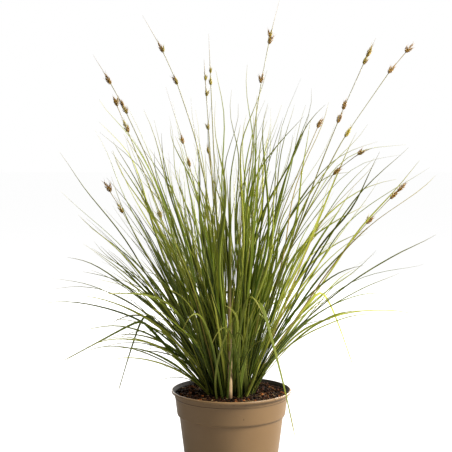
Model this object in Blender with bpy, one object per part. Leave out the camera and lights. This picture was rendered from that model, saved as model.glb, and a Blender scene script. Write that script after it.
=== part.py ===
"""Potted ornamental grass clump: a tuft of narrow, arching sedge leaves with brown flower
stalks, growing in a round plastic nursery pot.

Run it with blender --background --python part.py. Metres, +Z up. The origin is the middle of
the pot's flat underside, which stands on z = 0. Azimuth 0 is +X, to the right of the front,
and -90 degrees is the front.
"""

import math
import random
from collections import namedtuple

import bmesh
import bpy
from mathutils import Matrix, Quaternion, Vector, noise
from mathutils.bvhtree import BVHTree

for stale in list(bpy.data.objects):
    bpy.data.objects.remove(stale, do_unlink=True)

# ---------------------------------------------------------------- driving sizes

GAP = 0.0003  # left between pieces that touch

POT_HEIGHT = 0.130
POT_LIP_RADIUS = 0.085  # a 17 cm pot
POT_LIP_HEIGHT = 0.004
POT_LIP_OVERHANG = 0.0042
POT_LIP_RIM = 0.0022  # width of the lip's top edge
POT_FLARE = 0.0045  # below the rim, where the inner face starts to flare into the lip
POT_BAND_HEIGHT = 0.036  # rim to the step
POT_STEP = 0.0032  # how far the band stands out over the body
POT_TAPER = math.tan(math.radians(7))
POT_WALL = 0.0015
POT_FLOOR = 0.002
POT_SIDES = 44

DRAIN_HOLES = 8
DRAIN_RADIUS = 0.0045
DRAIN_RING = 0.044
CHANNEL_WIDTH = 0.006
CHANNEL_DEPTH = 0.0009

SOIL_BELOW_RIM = 0.0075  # under the crown
SOIL_RISE = 0.0020  # how much higher the soil lies along the pot
SOIL_BUMP = 0.0016
SOIL_LUMPS = 70  # how fine the lumps are, in cycles a metre
SOIL_SIDES = 32
SOIL_RINGS = (0.066, 0.052, 0.040)  # radii of the rings of corners on its top

CROWN_RADIUS = 0.030
CROWN_LEVEL = 1.35 * CROWN_RADIUS  # the soil is level out to here
LUMPS_EASE = 0.012  # over which its lumps set in
SHEATH_RADIUS = 0.0026
SHEATH_HEIGHT = 0.026
SINGLE_SHEATH = 0.7  # a single leaf's sheath radius, as a share of a shoot's
STOUT_STEM_RADIUS = 0.0025
STOUT_STEM_HEIGHT = 0.145
STOUT_STEM_FOOT = (-93, 0.036)  # azimuth and distance out
STOUT_STEM_BLADES = 4
BLADE_WIDTH = 0.0031
BLADE_THICKNESS = 0.0010
STEM_RADIUS = 0.0011
SPIKELET_LENGTH = 0.013
SPIKELET_RADIUS = 0.0024

WALK_STEPS = 60  # fine steps in which a blade's path is worked out
TRIES = 60  # how often a blade may look for a free way up
SEED = 17

BODY_TOP = POT_HEIGHT - POT_BAND_HEIGHT
BAND_TOP_RADIUS = POT_LIP_RADIUS - POT_LIP_OVERHANG
BAND_FOOT_RADIUS = BAND_TOP_RADIUS - (POT_BAND_HEIGHT - POT_LIP_HEIGHT) * POT_TAPER
BODY_TOP_RADIUS = BAND_FOOT_RADIUS - POT_STEP
BASE_RADIUS = BODY_TOP_RADIUS - BODY_TOP * POT_TAPER
SOIL_TOP = POT_HEIGHT - SOIL_BELOW_RIM
POT_EDGE = 0.0012  # bevel of the pot's corners

# The pot's inner face as (radius, height), from its floor up to the rim.
POT_INSIDE = [
    (BASE_RADIUS + POT_FLOOR * POT_TAPER - POT_WALL, POT_FLOOR),
    (BODY_TOP_RADIUS - POT_WALL, BODY_TOP - POT_EDGE),
    (BAND_FOOT_RADIUS - POT_WALL, BODY_TOP + POT_WALL),
    (BAND_TOP_RADIUS - POT_WALL, POT_HEIGHT - POT_FLARE),
    (POT_LIP_RADIUS - POT_LIP_RIM, POT_HEIGHT),
]

# ---------------------------------------------------------------- how each stalk and leaf grows

# azimuth, lean at the foot and further bend at the tip are in degrees. power says where the
# bend sits: 1 is an even arc, more puts it towards the tip. length is in metres. A kink folds
# the blade over at that share of its length, by so many degrees.
Habit = namedtuple("Habit", "azimuth lean bend power length kink_at kink_turn", defaults=(0, 0))

# Each flower stalk, and how far below its tip every spikelet sits, in metres.
FLOWER_STALKS = [
    (Habit(194, 3, 31, 2.2, 0.548), (0.052, 0.100)),
    (Habit(172, 14, 20, 2.0, 0.517), (0.045, 0.082, 0.093)),
    (Habit(205, 17, 8, 1.5, 0.444), (0.009, 0.047, 0.172)),
    (Habit(150, 6, 17, 1.5, 0.450), (0.083, 0.118)),
    (Habit(232, 6, 0, 1.0, 0.470), (0.023, 0.044, 0.090)),
    (Habit(125, 6, -2, 1.0, 0.515), (0.052, 0.069)),
    (Habit(238, 4, 14, 2.0, 0.360), (0.010,)),
    (Habit(186, 23, 9, 1.5, 0.334), (0.008, 0.042)),
    (Habit(50, 4, 20, 2.2, 0.578), (0.056, 0.066, 0.126)),
    (Habit(-14, 16, 10, 1.5, 0.528), (0.022, 0.033, 0.100, 0.119)),
    (Habit(12, 15, 28, 1.4, 0.560), (0.008, 0.048, 0.160)),
    (Habit(-24, 17, 58, 4.0, 0.408), (0.019, 0.062)),
    (Habit(28, 13, 24, 3.0, 0.412), (0.006,)),
    (Habit(6, 29, 19, 1.6, 0.368), (0.008, 0.023, 0.072)),
    (Habit(70, 15, 5, 1.0, 0.325), (0.030,)),
]

STOUT_STEM_HABIT = Habit(-92, 1.5, 9, 1.5, 0.185)

# Single leaves that are folded over or hang, each a piece of its own, and how far out on the
# crown it stands, by its own azimuth.
BENT_LEAVES = [
    (Habit(190, 41, 2, 1.0, 0.245, 0.48, 74), 190),
    (Habit(166, 38, 12, 1.0, 0.250, 0.47, 114), 166),
    (Habit(22, 33, 20, 1.0, 0.285, 0.53, 108), 22),
    (Habit(-56, 13, 16, 1.0, 0.322, 0.38, 132), -70),
    (Habit(4, 12, 60, 3.0, 0.170, 0.62, 95), -115),
    (Habit(178, 5, 4, 1.0, 0.215, 0.60, 138), -42),
]

# Outer shoots with a known lean and number of blades: the low, arching ones, then long ones
# that stand out from the clump.
OUTER_SHOOTS = [
    (Habit(176, 31, 56, 1.3, 0.325), 4),
    (Habit(192, 35, 63, 1.1, 0.305), 4),
    (Habit(160, 38, 88, 1.3, 0.220), 3),
    (Habit(205, 46, 66, 1.4, 0.205), 3),
    (Habit(180, 26, 36, 1.5, 0.340), 6),
    (Habit(-8, 28, 46, 1.3, 0.340), 5),
    (Habit(10, 36, 75, 1.4, 0.262), 3),
    (Habit(26, 34, 40, 1.2, 0.262), 4),
    (Habit(-20, 30, 66, 1.4, 0.225), 3),
    (Habit(3, 21, 60, 2.0, 0.415), 5),
    (Habit(-16, 29, 18, 1.6, 0.415), 5),
    (Habit(18, 13, 72, 2.6, 0.485), 4),
    (Habit(184, 25, 14, 1.5, 0.398), 6),
    (Habit(168, 21, 20, 1.6, 0.392), 7),
    (Habit(90, 34, 58, 1.3, 0.310), 4),
    (Habit(62, 32, 62, 1.4, 0.290), 4),
    (Habit(122, 35, 56, 1.3, 0.295), 4),
    (Habit(-84, 24, 56, 1.5, 0.270), 3),
    (Habit(-132, 27, 56, 1.5, 0.285), 4),
]
INNER_SHOOTS = 17  # the upright ones, set out by rule over the crown
INNER_BLADES = 9
FAN = math.radians(4.4)  # how far the blades of one shoot spread from its middle
GOLDEN_ANGLE = 137.508  # from one inner shoot's foot to the next, in degrees

# Where a stalk or an outer shoot stands: so far out, and further for each degree that it leans.
STALK_AWAY = (0.006, 0.0009)
OUTER_AWAY = (0.55 * CROWN_RADIUS, 0.011 * CROWN_RADIUS)
INNER_AWAY = 0.9 * CROWN_RADIUS  # the furthest out that an inner shoot stands

# How far chance may take things: angles in degrees, lengths as shares unless they say metres.
FOOT_SWING = 70
FOOT_SHIFT = (-0.016, 0.010)  # metres, inwards and outwards
BLADE_SWING = 5
BLADE_LEAN = 2.5
BLADE_BEND = (-0.2, 0.15)
BLADE_FAN = (0.45, 1.15)
BLADE_SWEEP = 24
BLADE_TWIST = 0.8  # radians from foot to tip
BLADE_LENGTHS = (0.6, 1.0)
BLADE_WIDTHS = (0.75, 1.15)
BENT_LEAF_WILD = 0.1  # a bent leaf keeps closely to its habit
STALK_FOOT_SWING = 50
STALK_FOOT_SHIFT = 0.014  # metres
STALK_SWING = 6
STALK_LEAN = 1.5
INNER_SWING = 22
INNER_LEAN = (2, 26)  # at the middle of the crown, and how much more at its edge
INNER_FRONT = 0.35  # the share of its lean that a shoot at the very front goes without
INNER_LEANS = (0.6, 1.1)
INNER_BEND = (4, 26)
INNER_POWER = (1.3, 2.4)
INNER_LENGTH = (0.37, 0.455)  # metres

# Rings of a stalk: where the plain stem has them, how far it thins, and the neck of a spikelet.
STEM_SHARES = (0.0, 0.16, 0.33, 0.5, 0.66)
STEM_THINS = 0.45
SPIKELET_NECK = 0.5
SPIKELET_END = 0.4
LEAST_STEP = 0.006  # rings closer than this share of the stalk become one

# ---------------------------------------------------------------- helpers


def material(name, colour, roughness):
    """A plain Principled material in one colour."""
    made = bpy.data.materials.new(name)
    made.use_nodes = True
    shader = made.node_tree.nodes["Principled BSDF"]
    shader.inputs["Base Color"].default_value = (*colour, 1)
    shader.inputs["Roughness"].default_value = roughness
    shader.inputs["Metallic"].default_value = 0
    return made


def add_object(name, mesh_data, finish):
    """Turns a bmesh into a named object of the scene."""
    bmesh.ops.recalc_face_normals(mesh_data, faces=mesh_data.faces)
    mesh = bpy.data.meshes.new(name)
    mesh_data.to_mesh(mesh)
    mesh_data.free()
    mesh.shade_smooth()
    made = bpy.data.objects.new(name, mesh)
    made.data.materials.append(finish)
    bpy.context.scene.collection.objects.link(made)
    return made


def turned(profile, sides):
    """A bmesh of a (radius, height) outline turned about Z. Its two ends lie on the axis."""
    shape = bmesh.new()
    corners = [shape.verts.new((radius, 0, height)) for radius, height in profile]
    edges = [shape.edges.new(pair) for pair in zip(corners, corners[1:])]
    bmesh.ops.spin(
        shape, geom=corners + edges, cent=(0, 0, 0), axis=(0, 0, 1), angle=math.tau, steps=sides
    )
    bmesh.ops.remove_doubles(shape, verts=shape.verts, dist=1e-6)
    return shape


def cut(target, name, cutter_shape):
    """Takes a closed shape out of an object with a Boolean, and keeps the cutter as a wire."""
    bmesh.ops.recalc_face_normals(cutter_shape, faces=cutter_shape.faces)
    mesh = bpy.data.meshes.new(name)
    cutter_shape.to_mesh(mesh)
    cutter_shape.free()
    cutter = bpy.data.objects.new(name, mesh)
    cutter.display_type = "WIRE"
    cutter.hide_render = True
    bpy.context.scene.collection.objects.link(cutter)
    boolean = target.modifiers.new(name, "BOOLEAN")
    boolean.operation = "DIFFERENCE"
    boolean.object = cutter


# ---------------------------------------------------------------- pot and soil


def build_pot():
    """The nursery pot: tapered body, wider band, rolled lip and a floor with drain holes."""
    lip_foot = POT_HEIGHT - POT_LIP_HEIGHT
    profile = [
        (0, 0),
        (BASE_RADIUS - POT_EDGE, 0),
        (BASE_RADIUS, POT_EDGE),
        (BODY_TOP_RADIUS, BODY_TOP - POT_EDGE),
        (BAND_FOOT_RADIUS, BODY_TOP),
        (BAND_TOP_RADIUS, lip_foot),
        (POT_LIP_RADIUS - POT_EDGE, lip_foot),
        (POT_LIP_RADIUS, lip_foot + POT_EDGE),
        (POT_LIP_RADIUS, POT_HEIGHT - POT_EDGE),
        (POT_LIP_RADIUS - POT_EDGE, POT_HEIGHT),
        *reversed(POT_INSIDE),
        (0, POT_FLOOR),
    ]
    finish = material("taupe_plastic", (0.30, 0.20, 0.115), 0.5)
    pot = add_object("nursery_pot", turned(profile, POT_SIDES), finish)

    holes = bmesh.new()
    for index in range(DRAIN_HOLES):
        place = Matrix.Rotation(math.tau * index / DRAIN_HOLES, 4, "Z")
        place @= Matrix.Translation((DRAIN_RING, 0, 0))
        bmesh.ops.create_cone(
            holes,
            cap_ends=True,
            segments=12,
            radius1=DRAIN_RADIUS,
            radius2=DRAIN_RADIUS,
            depth=6 * POT_FLOOR,
            matrix=place,
        )
    cut(pot, "drain_hole_cutter", holes)

    channels = bmesh.new()
    channel_length = BASE_RADIUS - DRAIN_RING + CHANNEL_WIDTH
    for index in range(0, DRAIN_HOLES, 2):
        place = Matrix.Rotation(math.tau * index / DRAIN_HOLES, 4, "Z")
        place @= Matrix.Translation((DRAIN_RING + channel_length / 2, 0, 0))
        place @= Matrix.Diagonal((channel_length, CHANNEL_WIDTH, 2 * CHANNEL_DEPTH, 1))
        bmesh.ops.create_cube(channels, size=1, matrix=place)
    cut(pot, "drain_channel_cutter", channels)
    return pot


def inside_radius(height):
    """Radius of the pot's inner face at a height."""
    for (low_radius, low), (high_radius, high) in zip(POT_INSIDE, POT_INSIDE[1:]):
        if height <= high:
            return low_radius + (high_radius - low_radius) * (height - low) / (high - low)
    return POT_INSIDE[-1][0]


def soil_height(x, y):
    """Height of the soil's top: level under the crown, higher and lumpy towards the pot."""
    away = math.hypot(x, y)
    lumpy = min(1, max(0, (away - CROWN_LEVEL) / LUMPS_EASE))
    rise = SOIL_RISE * min(1, max(0, (away - CROWN_LEVEL) / (SOIL_RINGS[0] - CROWN_LEVEL)))
    return SOIL_TOP + rise + lumpy * SOIL_BUMP * noise.noise(Vector((x, y, 0)) * SOIL_LUMPS)


def build_soil():
    """The potting soil: it fills the pot to a few millimetres below the rim."""
    low = POT_FLOOR + GAP
    ledge_low = BODY_TOP - POT_EDGE - GAP
    ledge_high = BODY_TOP + POT_WALL + GAP
    soil_edge = SOIL_TOP + SOIL_RISE - SOIL_BUMP
    profile = [
        (0, low),
        *((inside_radius(height) - 1.5 * GAP, height) for height in (low, ledge_low)),
        *((inside_radius(height) - 1.5 * GAP, height) for height in (ledge_high, soil_edge)),
        *((radius, SOIL_TOP) for radius in SOIL_RINGS),
        (0, SOIL_TOP),
    ]
    shape = turned(profile, SOIL_SIDES)
    for corner in shape.verts:
        if math.hypot(corner.co.x, corner.co.y) < SOIL_RINGS[0] + GAP and corner.co.z > BODY_TOP:
            corner.co.z = soil_height(corner.co.x, corner.co.y)
    return add_object("potting_soil", shape, material("soil", (0.035, 0.018, 0.010), 0.95))


# ---------------------------------------------------------------- growth


def smooth_step(value):
    clamped = min(1, max(0, value))
    return clamped * clamped * (3 - 2 * clamped)


def walk(start, habit, fan_angle=0.0, fan=0.0, sweep=0.0):
    """Fine path of one blade or stalk, as (point, tangent, across) from foot to tip.

    fan_angle turns about the shoot from its lean, and fan is how far this blade spreads
    from the shoot's middle in that direction, in radians. sweep turns its tip sideways.
    """
    point = start.copy()
    path = []
    for step in range(WALK_STEPS + 1):
        share = step / WALK_STEPS
        azimuth = math.radians(habit.azimuth) + sweep * share
        level = Vector((-math.sin(azimuth), math.cos(azimuth), 0))
        tilt = habit.lean + habit.bend * share**habit.power
        if habit.kink_at:
            tilt += habit.kink_turn * smooth_step((share - habit.kink_at) / 0.10 + 0.5)
        tilt = math.radians(tilt)
        outward = Vector((math.cos(azimuth), math.sin(azimuth), 0))
        ahead = outward * math.sin(tilt) + Vector((0, 0, math.cos(tilt)))
        under = outward * math.cos(tilt) - Vector((0, 0, math.sin(tilt)))
        drift = under * math.cos(fan_angle) + level * math.sin(fan_angle)
        tangent = (ahead + drift * fan).normalized()
        across = (level - tangent * level.dot(tangent)).normalized()
        path.append((point.copy(), tangent, across))
        point += tangent * habit.length / WALK_STEPS
    return path


def ring_shares(habit):
    """Where along a blade its rings sit: more of them where it bends more."""
    count = 3 + int(abs(habit.bend) / 20)
    shares = {round(WALK_STEPS * (index + 1) / (count + 1)) for index in range(count)}
    if habit.kink_at:
        kink = round(WALK_STEPS * habit.kink_at)
        shares = {share for share in shares if abs(share - kink) > 6}
        shares |= {kink - 4, kink, kink + 4}
    return sorted(shares)


def blade_width(share, width):
    """A grass blade keeps its width for half its length and then narrows to a fine point."""
    return width * (1 - 0.86 * max(0, share - 0.35) / 0.65) * (0.8 + 0.2 * min(1, share / 0.2))


def blade_rings(path, habit, width, turn, twist, grow_by=0.0):
    """Rings of three corners: the inner ridge, then the left and right edges, and the tip."""
    flat_turn = turn if abs(turn) <= math.pi / 2 else turn - math.copysign(math.pi, turn)
    rings = []
    for index in ring_shares(habit):
        share = index / WALK_STEPS
        point, tangent, across = path[index]
        roll = turn + (twist - flat_turn) * share
        side = Quaternion(tangent, roll) @ across
        inward = tangent.cross(side)
        half = blade_width(share, width) / 2 + grow_by
        thick = BLADE_THICKNESS * (1 - 0.5 * share) + 2 * grow_by
        back = point - inward * thick / 3
        rings.append((point + inward * thick * 2 / 3, back - side * half, back + side * half))
    return rings, path[-1][0]


def prism_tree(rings, tip):
    """A search tree of the surface through some rings, for finding what it would touch."""
    points = [corner for ring in rings for corner in ring] + [tip]
    sides = len(rings[0])
    faces = []
    for index in range(len(rings) - 1):
        for side in range(sides):
            low, high = index * sides, (index + 1) * sides
            beside = (side + 1) % sides
            faces.append((low + side, low + beside, high + beside, high + side))
    last = (len(rings) - 1) * sides
    faces += [(last + side, last + (side + 1) % sides, len(points) - 1) for side in range(sides)]
    return BVHTree.FromPolygons(points, faces)


def free_of(tree, placed):
    return not any(tree.overlap(other) for other in placed)


def extrude_through(shape, face, rings, tip):
    """Extrudes a face through rings of corners and closes it in a point.

    Each ring is in the order ridge, left, right, which is matched to the face's corners by
    the first ring that is already there.
    """
    order = list(face.verts)
    for ring in rings:
        fresh = bmesh.ops.extrude_discrete_faces(shape, faces=[face])["faces"][0]
        by_place = {corner.co.to_tuple(9): corner for corner in fresh.verts}
        moved = [by_place[corner.co.to_tuple(9)] for corner in order]
        for corner, place in zip(moved, ring):
            corner.co = place
        face, order = fresh, moved
    end = bmesh.ops.extrude_discrete_faces(shape, faces=[face])["faces"][0]
    bmesh.ops.pointmerge(shape, verts=list(end.verts), merge_co=tip)


def sheath_top(root, habit, height):
    """Middle of a sheath's upper end, from which its blades part."""
    tilt = math.radians(habit.lean)
    azimuth = math.radians(habit.azimuth)
    outward = Vector((math.cos(azimuth), math.sin(azimuth), 0))
    return root + (outward * math.sin(tilt) + Vector((0, 0, math.cos(tilt)))) * height


def sheath_corners(middle, radius, sides, first_angle):
    return [
        middle + Vector((math.cos(angle), math.sin(angle), 0)) * radius
        for angle in (first_angle + math.tau * side / sides for side in range(sides))
    ]


def sheath_tree(root, top, radius, sides, first_angle):
    foot_ring = sheath_corners(root, radius + GAP, sides, first_angle)
    top_ring = sheath_corners(top, radius + GAP, sides, first_angle)
    return prism_tree([foot_ring, top_ring], top)


def crown_root(azimuth, away):
    angle = math.radians(azimuth)
    return Vector((away * math.cos(angle), away * math.sin(angle), SOIL_TOP + GAP))


class Clump:
    """All that grows: it keeps what is already placed, so that a new blade can avoid it."""

    def __init__(self, obstacles):
        self.placed = list(obstacles)
        self.draw = random.Random(SEED)

    def rooted(self, habit, place, away, sides, radius, height):
        """A free place on the crown for a sheath, near the one asked for.

        place is the azimuth of its foot in degrees, and away is how far out it stands.
        """
        for attempt in range(TRIES):
            loose = attempt / TRIES
            root = crown_root(
                place + self.draw.uniform(-FOOT_SWING, FOOT_SWING) * loose,
                max(0, away + self.draw.uniform(*FOOT_SHIFT) * loose),
            )
            first_angle = math.radians(habit.azimuth) - math.pi / sides
            top = sheath_top(root, habit, height)
            tree = sheath_tree(root, top, radius, sides, first_angle)
            if free_of(tree, self.placed):
                return root, top, first_angle
        return None

    def free_blade(self, slice_ring, middle, habit, turn, width, siblings, wild=1.0):
        """Rings of a blade that starts at one slice of its sheath and touches nothing.

        wild is how far its own way may differ from the shoot's habit.
        """
        for attempt in range(TRIES):
            loose = wild + attempt / TRIES
            own = habit._replace(
                azimuth=habit.azimuth + self.draw.uniform(-BLADE_SWING, BLADE_SWING) * loose,
                lean=habit.lean + self.draw.uniform(-BLADE_LEAN, BLADE_LEAN) * loose,
                bend=habit.bend * (1 + self.draw.uniform(*BLADE_BEND) * loose),
            )
            fan = FAN * self.draw.uniform(*BLADE_FAN) * min(1, wild)
            sweep = math.radians(self.draw.uniform(-BLADE_SWEEP, BLADE_SWEEP)) * loose
            twist = self.draw.uniform(-BLADE_TWIST, BLADE_TWIST)
            path = walk(middle, own, turn, fan, sweep)
            rings, tip = blade_rings(path, own, width, turn, twist)
            wide, wide_tip = blade_rings(path, own, width, turn, twist, GAP)
            from_slice = prism_tree([slice_ring] + wide, wide_tip)
            if free_of(from_slice, self.placed) and free_of(prism_tree(wide, wide_tip), siblings):
                return rings, tip
        return None

    def shoot(self, name, habit, place, away, blades, finish, radius=SHEATH_RADIUS,
              height=SHEATH_HEIGHT):
        """One shoot: a short sheath whose top parts into blades, each from its own slice."""
        found = self.rooted(habit, place, away, blades, radius, height)
        if not found:
            return None
        root, top, first_angle = found
        shape = bmesh.new()
        foot_ring = [shape.verts.new(c) for c in sheath_corners(root, radius, blades, first_angle)]
        top_ring = [shape.verts.new(c) for c in sheath_corners(top, radius, blades, first_angle)]
        hub = shape.verts.new(top)
        shape.faces.new(reversed(foot_ring))
        slices = []
        for side in range(blades):
            beside = (side + 1) % blades
            shape.faces.new((foot_ring[side], foot_ring[beside], top_ring[beside], top_ring[side]))
            slices.append(shape.faces.new((hub, top_ring[side], top_ring[beside])))

        siblings = []
        grown_blades = []
        for side, face in enumerate(slices):
            turn = first_angle + math.tau * (side + 0.5) / blades - math.radians(habit.azimuth)
            turn = (turn + math.pi) % math.tau - math.pi
            own = habit._replace(length=habit.length * self.draw.uniform(*BLADE_LENGTHS))
            width = BLADE_WIDTH * self.draw.uniform(*BLADE_WIDTHS)
            slice_ring = tuple(corner.co.copy() for corner in face.verts)
            middle = face.calc_center_median()
            grown = self.free_blade(slice_ring, middle, own, turn, width, siblings)
            if not grown:
                continue
            rings, tip = grown
            siblings.append(prism_tree(rings, tip))
            grown_blades.append(prism_tree([slice_ring] + rings, tip))
            extrude_through(shape, face, rings, tip)
        self.placed.append(sheath_tree(root, top, radius - GAP, blades, first_angle))
        self.placed += grown_blades
        return add_object(name, shape, finish)

    def single_leaf(self, name, habit, place, finish):
        """One leaf with its own little sheath, folded over by its kink."""
        radius = SHEATH_RADIUS * SINGLE_SHEATH
        found = self.rooted(habit, place, CROWN_RADIUS, 3, radius, SHEATH_HEIGHT)
        root, top, first_angle = found
        shape = bmesh.new()
        foot_ring = [shape.verts.new(c) for c in sheath_corners(root, radius, 3, first_angle)]
        top_ring = [shape.verts.new(c) for c in sheath_corners(top, radius, 3, first_angle)]
        shape.faces.new(reversed(foot_ring))
        for side in range(3):
            beside = (side + 1) % 3
            shape.faces.new((foot_ring[side], foot_ring[beside], top_ring[beside], top_ring[side]))
        # The sheath's outer side lies across the lean, so its third corner is the ridge.
        face = shape.faces.new((top_ring[2], top_ring[0], top_ring[1]))
        slice_ring = tuple(corner.co.copy() for corner in face.verts)
        grown = self.free_blade(
            slice_ring, top, habit, 0.0, BLADE_WIDTH, [], wild=BENT_LEAF_WILD
        )
        if not grown:
            raise RuntimeError(f"{name} finds no free way up")
        rings, tip = grown
        self.placed.append(sheath_tree(root, top, radius - GAP, 3, first_angle))
        self.placed.append(prism_tree([slice_ring] + rings, tip))
        extrude_through(shape, face, rings, tip)
        return add_object(name, shape, finish)

    def flower_stalk(self, name, habit, spikelets, away, finish):
        """A three-sided stem that swells where each spikelet sits and ends in a thin bract."""
        stations = stalk_stations(habit, spikelets)
        for attempt in range(TRIES):
            loose = attempt / TRIES
            root = crown_root(
                habit.azimuth + self.draw.uniform(-STALK_FOOT_SWING, STALK_FOOT_SWING) * loose,
                max(0, away + self.draw.uniform(-STALK_FOOT_SHIFT, STALK_FOOT_SHIFT) * loose),
            )
            own = habit._replace(
                azimuth=habit.azimuth + self.draw.uniform(-STALK_SWING, STALK_SWING) * loose,
                lean=habit.lean + self.draw.uniform(-STALK_LEAN, STALK_LEAN) * loose,
            )
            path = walk(root, own)
            wide = [stem_ring(path, share, radius + GAP) for share, radius in stations]
            if free_of(prism_tree(wide, path[-1][0]), self.placed):
                break
        else:
            raise RuntimeError(f"{name} finds no free way up")
        rings = [stem_ring(path, share, radius) for share, radius in stations]
        tip = path[-1][0]
        shape = bmesh.new()
        foot = [shape.verts.new(corner) for corner in rings[0]]
        extrude_through(shape, shape.faces.new(foot), rings[1:], tip)
        shape.faces.new(reversed(foot))
        self.placed.append(prism_tree(rings, tip))
        return add_object(name, shape, finish)


def stalk_stations(habit, spikelets):
    """(share, radius) of each ring up a stalk, with a swelling at every spikelet."""
    stations = [(share, STEM_RADIUS * (1 - STEM_THINS * share)) for share in STEM_SHARES]
    for below_tip in spikelets:
        middle = 1 - below_tip / habit.length
        reach = SPIKELET_LENGTH / 2 / habit.length
        stations.append((middle - reach, STEM_RADIUS * SPIKELET_NECK))
        stations.append((middle, SPIKELET_RADIUS))
        stations.append((middle + reach, STEM_RADIUS * SPIKELET_END))
    stations = sorted(station for station in stations if station[0] < 1 - LEAST_STEP)
    kept = [stations[0]]
    for station in stations[1:]:
        if station[0] - kept[-1][0] > LEAST_STEP:
            kept.append(station)
        elif station[1] > kept[-1][1]:
            kept[-1] = station
    return kept


def stem_ring(path, share, radius):
    """Three corners around a stem's path, which is read between its fine steps."""
    place = share * WALK_STEPS
    low = min(WALK_STEPS - 1, int(place))
    point = path[low][0].lerp(path[low + 1][0], place - low)
    tangent, across = path[low][1:]
    return tuple(
        point + Quaternion(tangent, math.tau * side / 3) @ across * radius for side in range(3)
    )


def inner_shoot(index, draw):
    """Upright shoots by rule: further out on the crown they lean more, least at the front."""
    out = math.sqrt((index + 0.5) / INNER_SHOOTS)
    place = (index * GOLDEN_ANGLE) % 360
    frontal = max(0, -math.sin(math.radians(place)))
    lean = (INNER_LEAN[0] + INNER_LEAN[1] * out) * (1 - INNER_FRONT * frontal)
    habit = Habit(
        place + draw.uniform(-INNER_SWING, INNER_SWING),
        lean * draw.uniform(*INNER_LEANS),
        draw.uniform(*INNER_BEND),
        draw.uniform(*INNER_POWER),
        draw.uniform(*INNER_LENGTH),
    )
    return habit, place, INNER_AWAY * out


def build_plant(obstacles):
    """Grows the stalks and the bent leaves first, then fills the clump with shoots."""
    leaf = material("leaf_green", (0.13, 0.19, 0.035), 0.5)
    stalk = material("stalk_straw", (0.24, 0.17, 0.05), 0.6)
    clump = Clump(obstacles)
    made = [
        clump.shoot(
            "stout_stem",
            STOUT_STEM_HABIT,
            *STOUT_STEM_FOOT,
            STOUT_STEM_BLADES,
            leaf,
            STOUT_STEM_RADIUS,
            STOUT_STEM_HEIGHT,
        )
    ]
    for index, (habit, spikelets) in enumerate(FLOWER_STALKS, 1):
        away = STALK_AWAY[0] + STALK_AWAY[1] * habit.lean
        name = f"flower_stalk_{index:02d}"
        made.append(clump.flower_stalk(name, habit, spikelets, away, stalk))
    for index, (habit, place) in enumerate(BENT_LEAVES, 1):
        made.append(clump.single_leaf(f"bent_leaf_{index:02d}", habit, place, leaf))
    rule = random.Random(SEED + 1)
    planned = [
        (habit, habit.azimuth, OUTER_AWAY[0] + OUTER_AWAY[1] * habit.lean, blades)
        for habit, blades in OUTER_SHOOTS
    ]
    planned += [(*inner_shoot(index, rule), INNER_BLADES) for index in range(INNER_SHOOTS)]
    for index, (habit, place, away, blades) in enumerate(planned, 1):
        shoot = clump.shoot(f"leaf_shoot_{index:02d}", habit, place, away, blades, leaf)
        if not shoot:
            raise RuntimeError(f"leaf_shoot_{index:02d} finds no free place on the crown")
        made.append(shoot)
    return made


def surface_tree(piece):
    """Search tree of a finished piece's surface."""
    graph = bpy.context.evaluated_depsgraph_get()
    return BVHTree.FromObject(piece, graph)


pot_piece = build_pot()
build_soil()
bpy.context.view_layer.update()
plant_pieces = build_plant([surface_tree(pot_piece)])
print(f"{len(plant_pieces)} plant pieces")
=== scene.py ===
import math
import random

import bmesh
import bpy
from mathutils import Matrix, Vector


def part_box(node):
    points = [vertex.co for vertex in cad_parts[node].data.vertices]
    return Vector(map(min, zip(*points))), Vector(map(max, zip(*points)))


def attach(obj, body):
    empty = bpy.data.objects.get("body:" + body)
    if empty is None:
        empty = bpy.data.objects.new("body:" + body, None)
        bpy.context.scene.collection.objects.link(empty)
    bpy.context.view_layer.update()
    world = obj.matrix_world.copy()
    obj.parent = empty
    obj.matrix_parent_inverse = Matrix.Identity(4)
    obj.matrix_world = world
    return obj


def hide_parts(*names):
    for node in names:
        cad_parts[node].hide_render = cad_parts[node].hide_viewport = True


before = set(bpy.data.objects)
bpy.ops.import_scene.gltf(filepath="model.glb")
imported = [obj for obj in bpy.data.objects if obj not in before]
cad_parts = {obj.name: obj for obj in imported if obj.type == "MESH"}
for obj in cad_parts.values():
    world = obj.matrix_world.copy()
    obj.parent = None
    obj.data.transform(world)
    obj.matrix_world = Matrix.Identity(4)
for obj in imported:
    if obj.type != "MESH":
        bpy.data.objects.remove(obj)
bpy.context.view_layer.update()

# %% [markdown]
# # A potted sedge, from loose solids to a living plant
#
# The frame holds sixty plain solids: a pot, its soil, a stout stem, fifteen flower stalks, six
# bent leaves and thirty-six shoots. They stand in the right places, but each leaf is a coarse
# three-cornered spike. This lesson keeps every one of those paths and dresses it: the spikes
# become channelled blades, the swellings on the stalks become seed heads, the flat soil becomes
# bark and peat, and the pot gets its mould lines and its dull plastic skin.
#
# Everything is in metres with +Z up, and the front of the plant looks along -Y.

# %% [markdown]
# ## Writing nodes as sums
#
# Node trees can be clicked together or written down. Written down node by node, a simple sum
# takes six lines, so a small class wraps one output socket and lets Python's own + - * add the
# Math nodes. The reflected forms, such as `__rsub__`, are what makes `1 - mask` work. Every other
# node comes from one method, `add`, which takes its type, its settings and what goes into it.

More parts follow.
